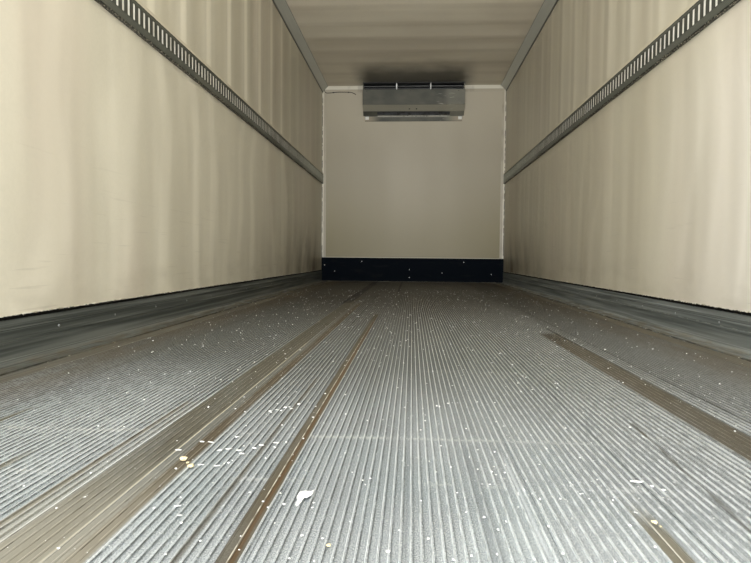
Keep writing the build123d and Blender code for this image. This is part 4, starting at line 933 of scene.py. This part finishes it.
# Load rails: slotted channels in dull mill-finish aluminium with two drawn grooves. A pale
# strip behind the slots shows between the dark bars, and a cream bead covers the top edge.
load_low, load_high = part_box("load_rail_right")
rail_foot = load_low.z
rail_middle = (load_low.z + load_high.z) / 2
slot_pitch = 0.050
rail = Finish("rail_metal")
groove = ((rail.z - rail_foot) * 900).sine() * 0.5 + 0.5
lower_band = rail.z.rise(rail_foot + 0.034, rail_foot + 0.030)
rail_dust = rail.noise(12, (1, 0.15, 1), detail=5).rise(0.42, 0.72)
rail_streak = rail.noise(120, (1, 0.02, 1), detail=3)
from_slot = abs((rail.y - (load_low.y + load_high.y) / 2) % slot_pitch - slot_pitch / 2)
slot_row = abs(rail.z - rail_middle).rise(0.0385, 0.0365)
upper_band = rail.z.rise(rail_middle + 0.0345, rail_middle + 0.0365)
far_end = rail.y.rise(0.8, 3.0)
sealed_top = load_high.z - 0.020
ragged_z = rail.z + (rail.noise(150, (1, 0.5, 1)) - 0.5) * 0.005
smeared = ragged_z.rise(sealed_top, sealed_top + 0.001)
rail_edge = ragged_z.rise(sealed_top - 0.0045, sealed_top - 0.0035)
rail_edge = rail_edge + rail.z.rise(rail_foot + 0.0060, rail_foot + 0.0042)
bead_bits = rail.noise(210, (1, 0.35, 1), detail=3).rise(0.57, 0.62)
bead_bits = bead_bits * rail.z.rise(rail_foot + 0.0050, rail_foot + 0.0035)
rail.wear(
    colour=rail.layers(
        rail.mix(rail_streak, (84, 88, 80), (112, 116, 107)),
        (lower_band * groove * 0.45, (30, 31, 30)),
        (rail_dust * 0.35, (112, 106, 92)),
        (upper_band * 0.35, (30, 32, 30)),
        # The bars of the slot row are dark, with a rim of painted shadow at the slots' edges.
        (slot_row * (0.55 + from_slot.rise(0.0150, 0.0125) * 0.35), (24, 26, 24)),
        (far_end * 0.55, (164, 170, 157)),
        (rail_edge * 0.85, (22, 23, 22)),
        (bead_bits * 0.8, (190, 184, 166)),
        (smeared, (196, 189, 168)),
    ),
    roughness=0.42 + rail_dust * 0.3,
    metallic=(0.3 - rail_dust * 0.2) * (1 - smeared),
    height=rail_streak * 0.4 - lower_band * groove * 0.6,
    depth=0.0006,
)
paint(rail, *both("load_rail"))

backing = Finish("slot_backing", Roughness=0.55)
backing_dust = backing.noise(9, detail=4).rise(0.4, 0.7)
backing.wear(colour=backing.mix(backing_dust, (228, 227, 219), (196, 193, 181)))
backing_half = 0.036
for side, word in sides:
    first_x, last_x = sorted((side * (wall_inner - 0.0188), side * (wall_inner - 0.0005)))
    low = (first_x, load_low.y + 0.02, rail_middle - backing_half)
    strip = block(low, (last_x, load_high.y - 0.02, rail_middle + backing_half))
    modified(strip, "BEVEL", width=0.0006)
    dress(strip, "slot_backing_" + word, backing)

# Ceiling coves and bulkhead trim: grey profiles with dark lips, and white plastic strips up the
# corners of the front wall, painted dark as shade behind the evaporator's outlet and crossed there
# by two pale lines.
# Two pale plastic angles hold the evaporator's lower corners.
cove_low, cove_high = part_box("ceiling_cove_right")
cove = Finish("cove_metal")
cove_line = cove.noise(90, (1, 0.02, 1), detail=3)
lip = cove.z.rise(cove_low.z + 0.012, cove_low.z + 0.004)
lip = lip + cove.z.rise(cove_high.z - 0.010, cove_high.z - 0.003)
cove.wear(
    colour=cove.layers(
        cove.mix(cove_line, (146, 147, 138), (172, 172, 162)),
        (cove.y.rise(-1.0, 3.2) * 0.45, (212, 214, 205)),
        (lip * 0.8, (34, 33, 30)),
    ),
    roughness=0.45 + cove_line * 0.1,
    metallic=0.15 - lip * 0.1,
    height=cove_line,
    depth=0.0004,
)
paint(cove, *both("ceiling_cove"))

trim = Finish("trim_plastic")
trim_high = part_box("bulkhead_trim")[1]
joint_line = abs(abs(trim.x) - trim_high.x + 0.004).rise(0.006, 0.003)
joint_gaps = trim.noise(14, detail=4).rise(0.40, 0.52)
trim_grime = trim.noise(9, (1, 1, 0.5), detail=5).rise(0.5, 0.75)
pale_trim = trim.z.rise(trim_high.z - 0.050, trim_high.z - 0.044)
pale_trim = pale_trim + abs(trim.x).rise(trim_high.x - 0.026, trim_high.x - 0.022)
behind_outlet = abs(trim.x).rise(0.668, 0.662)
pale_outlet_lines = abs(trim.z - trim_high.z + 0.0075).rise(0.0026, 0.0014)
pale_outlet_lines = pale_outlet_lines + abs(trim.z - trim_high.z + 0.037).rise(0.0030, 0.0018)
trim.wear(
    colour=trim.layers(
        trim.mix(pale_trim.capped(), (168, 161, 143), (206, 202, 187)),
        # Behind the outlet the trim is painted dark as shade, crossed by two pale lines.
        (behind_outlet, (14, 16, 18)),
        (behind_outlet * pale_outlet_lines * 0.8, (170, 172, 168)),
        ((joint_line * joint_gaps + trim_grime * 0.3) * (1 - behind_outlet), (58, 53, 43)),
    ),
    roughness=0.38 + trim_grime * 0.2,
    height=trim.noise(60),
    depth=0.0003,
)
paint(trim, "bulkhead_trim")

clip = Finish("bracket_plastic", Roughness=0.45)
clip_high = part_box("evaporator_brackets")[1]
clip_rim = abs(clip.x).rise(clip_high.x - 0.006, clip_high.x - 0.004)
clip_rim = clip_rim + clip.z.rise(clip_high.z - 0.007, clip_high.z - 0.005)
clip_tone = clip.mix(clip.noise(40), (206, 206, 198), (222, 222, 216))
clip.wear(colour=clip.mix(clip_rim * 0.8, clip_tone, (24, 24, 24)))
paint(clip, "evaporator_brackets")

# Evaporator: a slim scuffed grey sheet housing under the ceiling, with a louvred outlet at
# the top, a return slot under the sloping band, and finned coils behind both.
house_low, house_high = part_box("evaporator_housing")
house_foot = house_low.z
house_width = house_high.x - house_low.x
housing = Finish("housing_metal")
from_middle = abs(housing.x)
share = (housing.x - house_low.x) / house_width
cloud = housing.noise(5, (1, 1, 1.6), detail=5)
pale_end = share.rise(0.78, 0.86) * (0.4 + cloud * 0.4)
scuff_zone = share.rise(0.70, 0.78) * share.rise(0.99, 0.86)
scuff_zone = scuff_zone * housing.z.rise(ceiling_level - 0.10, ceiling_level - 0.19)
scuff_marks = housing.noise(34, (0.3, 1, 1.6), detail=5).rise(0.58, 0.70) * scuff_zone
# The sloping band, which faces down, is painted lighter as light, and the top lip darker as painted shade.
sloped = housing.z.rise(house_foot + 0.19, house_foot + 0.178)
sloped = sloped * housing.z.rise(house_foot + 0.115, house_foot + 0.125)
top_lip = housing.z.rise(ceiling_level - 0.016, ceiling_level - 0.010)
return_level = house_foot + 0.072
slot_lip = abs(housing.z - return_level + 0.002).rise(0.0034, 0.0020) * from_middle.rise(0.50, 0.46)
slot_lip = slot_lip * housing.noise(30, detail=3).rise(0.3, 0.45)
flange = housing.z.rise(return_level - 0.006, return_level - 0.010)
under_slot = flange * housing.z.rise(house_foot + 0.05, house_foot + 0.066)
foot_line = housing.z.rise(house_foot + 0.0075, house_foot + 0.005)
housing.wear(
    colour=housing.layers(
        housing.mix(cloud.rise(0.3, 0.7), (70, 71, 65), (91, 91, 82)),
        (pale_end * 0.6, (148, 146, 132)),
        # Painted light on the sloping band and painted shade on the top lip.
        (sloped * 0.7, (170, 167, 152)),
        (top_lip * 0.9, (24, 26, 28)),
        (scuff_marks * 0.45, (196, 193, 180)),
        (slot_lip * 0.7, (226, 224, 216)),
        (flange * from_middle.rise(0.44, 0.60) * 0.7, (160, 150, 130)),
        (under_slot * from_middle.rise(0.56, 0.40) * 0.5, (186, 184, 172)),
        (foot_line * 0.6, (46, 44, 38)),
    ),
    roughness=0.5 + cloud * 0.15,
    metallic=0.3 - scuff_marks * 0.2,
    height=housing.noise(40, detail=4),
    depth=0.0005,
)
paint(housing, "evaporator_housing")

louvre = Finish("louvre_metal", Specular_IOR_Level=0.15)
post_white = abs(abs(louvre.x) - house_width / 6).rise(0.0095, 0.0080)
blade_edge = abs(louvre.z - ceiling_level + 0.046).rise(0.0020, 0.0010) * 0.3
blade_edge = blade_edge + abs(louvre.z - ceiling_level + 0.063).rise(0.0028, 0.0014) * 0.75
louvre.wear(
    colour=louvre.layers(
        (18, 21, 24),
        (blade_edge * 0.6, (180, 184, 184)),
        (post_white, (250, 250, 246)),
    ),
    roughness=0.4 + louvre.noise(30, detail=3) * 0.2,
)
paint(louvre, "evaporator_louvres")

coil = Finish("coil_fins", Metallic=0.7)
fin_wave = (coil.x * 1600).sine() * 0.5 + 0.5
coil_dirt = coil.noise(10, detail=5).rise(0.4, 0.7)
coil.wear(
    colour=coil.layers((40, 41, 42), (fin_wave, (128, 130, 132)), (coil_dirt * 0.7, (52, 47, 40))),
    roughness=0.4 + coil_dirt * 0.3,
    height=fin_wave,
    depth=0.0015,
)
paint(coil, "evaporator_coil", "condenser_coil")

dark_plastic = Finish("dark_plastic")
plastic_dust = dark_plastic.noise(14, detail=6).rise(0.45, 0.75)
dark_plastic.wear(
    colour=dark_plastic.mix(plastic_dust * 0.45, (24, 25, 26), (88, 84, 76)),
    roughness=0.5 + plastic_dust * 0.25,
    height=dark_plastic.noise(700, detail=1),
    depth=0.0003,
)
fittings = [  # name, radius, parts of the width, depth and level of its row, facing
    ("cover_screws", 0.006, (0.04, 0.47, 0.94), 0, -0.112, (0, -1, 0)),
    ("drain_knobs", 0.010, (0.46, 0.53), 0.058, -0.334, (0, -0.62, -0.78)),
]
for name, radius, parts, back, level, facing in fittings:
    spots = [
        ((house_low.x + part * house_width, house_low.y + back, ceiling_level + level), facing)
        for part in parts
    ]
    dress(stamp(rivet(radius), spots), name, dark_plastic)

# Sensor cable: a thin lead in a black rubber jacket, slightly dusty, from the trim's upper
# corner to the front wall beside the evaporator. Two saddles hold it down.
cable = Finish("cable_jacket")
cable_dust = cable.noise(60, detail=4).rise(0.45, 0.7)
cable.wear(
    colour=cable.mix(cable_dust * 0.12, (4, 4, 4), (60, 57, 50)),
    roughness=0.5 + cable_dust * 0.3,
    height=cable.noise(400),
    depth=0.0003,
)
paint(cable, "sensor_cable", "cable_clips")

# Cooling unit on the nose: a white moulded cowl over the engine, with black slatted openings
# for the two condenser fans and the radiator. Quarter-turn catches hold its sides.
cowl = Finish("cowl_skin", Coat_Weight=0.3)
cowl_grime = cowl.noise(6, (1, 1, 0.5), detail=6).rise(0.46, 0.78)
cowl_streak = cowl.noise(22, (1, 1, 0.05), detail=4).rise(0.56, 0.76)
cowl.wear(
    colour=cowl.mix(cowl_grime * 0.25 + cowl_streak * 0.2, (208, 211, 211), (146, 140, 127)),
    roughness=0.26 + cowl_grime * 0.25,
    height=cowl.noise(3),
    depth=0.0008,
)
paint(cowl, "unit_cowl")

dish_height = 0.004
bpy.ops.mesh.primitive_cylinder_add(
    vertices=24, radius=0.017, depth=dish_height, location=(0, 0, dish_height / 2)
)
catch = bpy.context.object
for item in (*catch.data.vertices, *catch.data.edges, *catch.data.polygons):
    item.select = False
for face in catch.data.polygons:
    face.select = face.normal.z > 0.9
bpy.ops.object.mode_set(mode="EDIT")
bpy.ops.mesh.select_mode(type="FACE")
bpy.ops.mesh.inset(thickness=0.004)
bpy.ops.transform.translate(value=(0, 0, -0.0016))
bpy.ops.object.mode_set(mode="OBJECT")
bpy.ops.mesh.primitive_cube_add(size=1, location=(0, 0, dish_height))
grip = bpy.context.object
grip.dimensions = (0.022, 0.006, 0.005)
bpy.ops.object.transform_apply(location=False, rotation=False, scale=True)
modified(grip, "BEVEL", width=0.0012, segments=2)
cowl_low, cowl_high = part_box("unit_cowl")
catch_spots = []
for side in (-1, 1):
    for level in (0.13, 0.62):
        catch_spots.append(((side * cowl_high.x, cowl_low.y + 0.09, cowl_low.z + level), (side, 0, 0)))
dress(stamp(joined(catch), catch_spots), "cowl_catches", dark_plastic)
paint(dark_plastic, "unit_grille", "fan_guards", *both("condenser_fan"))

engine = Finish("engine_paint", Metallic=0.2)
oil = engine.noise(12, detail=6).rise(0.5, 0.72)
engine.wear(
    colour=engine.mix(oil * 0.7, (62, 66, 70), (26, 24, 20)),
    roughness=0.55 - oil * 0.2,
    height=engine.noise(80, detail=4),
    depth=0.0006,
)
paint(engine, "unit_engine", "fan_motors")

# Rear doors: white insulated leaves, smooth outside and in, on stainless straps and pins,
# with round lock bars that turn in black guides.
door_low, door_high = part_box("door_left")
door = Finish("door_skin")
rim_width = 0.024
rim = door.z.rise(door_low.z + rim_width, door_low.z + rim_width - 0.001)
rim = rim + door.z.rise(door_high.z - rim_width, door_high.z - rim_width + 0.001)
rim = rim + door.y.rise(door_low.y + rim_width, door_low.y + rim_width - 0.001)
rim = rim + door.y.rise(door_high.y - rim_width, door_high.y - rim_width + 0.001)
rim = rim.capped()
door_streak = door.noise(24, (1, 1, 0.03), detail=5).rise(0.52, 0.76)
door_splash = door.z.rise(1.1, 0.2) * door.noise(36, (1, 1, 0.7), detail=8).rise(0.44, 0.74)
door_scratch = door.noise(50, (1, 0.4, 1), detail=4).rise(0.66, 0.70)
door.wear(
    colour=door.layers(
        (190, 193, 192),
        (door_streak * 0.2, (166, 164, 156)),
        (door_splash * 0.4, (150, 142, 126)),
        (door_scratch * 0.3, (120, 120, 116)),
        (rim, door.mix(door.noise(300, (1, 1, 0.02)), (178, 181, 183), (150, 153, 156))),
    ),
    roughness=0.28 + door_splash * 0.3 + rim * 0.06,
    metallic=rim * 0.8,
    height=door.noise(1.4, (1, 1, 0.5)) * 0.9 + door.noise(240) * 0.05,
    depth=0.003,
)
paint(door, *both("door"))
paint(dark_plastic, *both("lock_guides"))

bar_steel = Finish("bar_steel", Metallic=0.95)
bar_grain = bar_steel.noise(420, (1, 1, 0.02))
bar_rust = bar_steel.noise(26, detail=5).rise(0.6, 0.74)
bar_tone = bar_steel.mix(bar_grain, (204, 206, 208), (164, 167, 170))
bar_steel.wear(
    colour=bar_steel.mix(bar_rust * 0.5, bar_tone, (118, 84, 52)),
    roughness=0.26 + bar_grain * 0.16 + bar_rust * 0.3,
    height=bar_grain,
    depth=0.0002,
)
paint(bar_steel, *both("lock_bars"), "lock_keepers", *both("hinge_straps"), "hinge_brackets")

strap_face = 0.032  # outward from the hinge's pin
for side, word in sides:
    pin = next(joint["pos_m"] for joint in frame["joints"] if joint["name"] == word + "_door_hinge")
    strap_x = side * (abs(pin[0]) + strap_face)
    strap_spots = []
    for level in (0.250, 1.330, 2.410):
        for reach in (0.10, 0.17, 0.24, 0.31):
            strap_spots.append(((strap_x, pin[1] + reach, floor_level + level), (-side, 0, 0)))
    strap_bolts = stamp(bolt(0.007, 0.005), strap_spots)
    dress(strap_bolts, "strap_bolts_" + word, bar_steel, word + "_door")

# Marker lamps: white at the nose, amber along the rails and red on the header, with ribbed
# lenses.
lamp_tones = {"front_lamps": (224, 226, 220), "side_lamps": (226, 110, 12), "rear_lamps": (150, 12, 10)}
for name, tone in lamp_tones.items():
    lens = Finish("lens_" + name, Coat_Weight=0.8, Roughness=0.18)
    lens_dirt = lens.noise(40, detail=5).rise(0.45, 0.75)
    lens.wear(
        colour=lens.mix(lens_dirt * 0.3, tone, (96, 88, 74)),
        height=((lens.x + lens.y) * 1400).sine() * 0.5 + 0.5,
        depth=0.0008,
    )
    paint(lens, name)
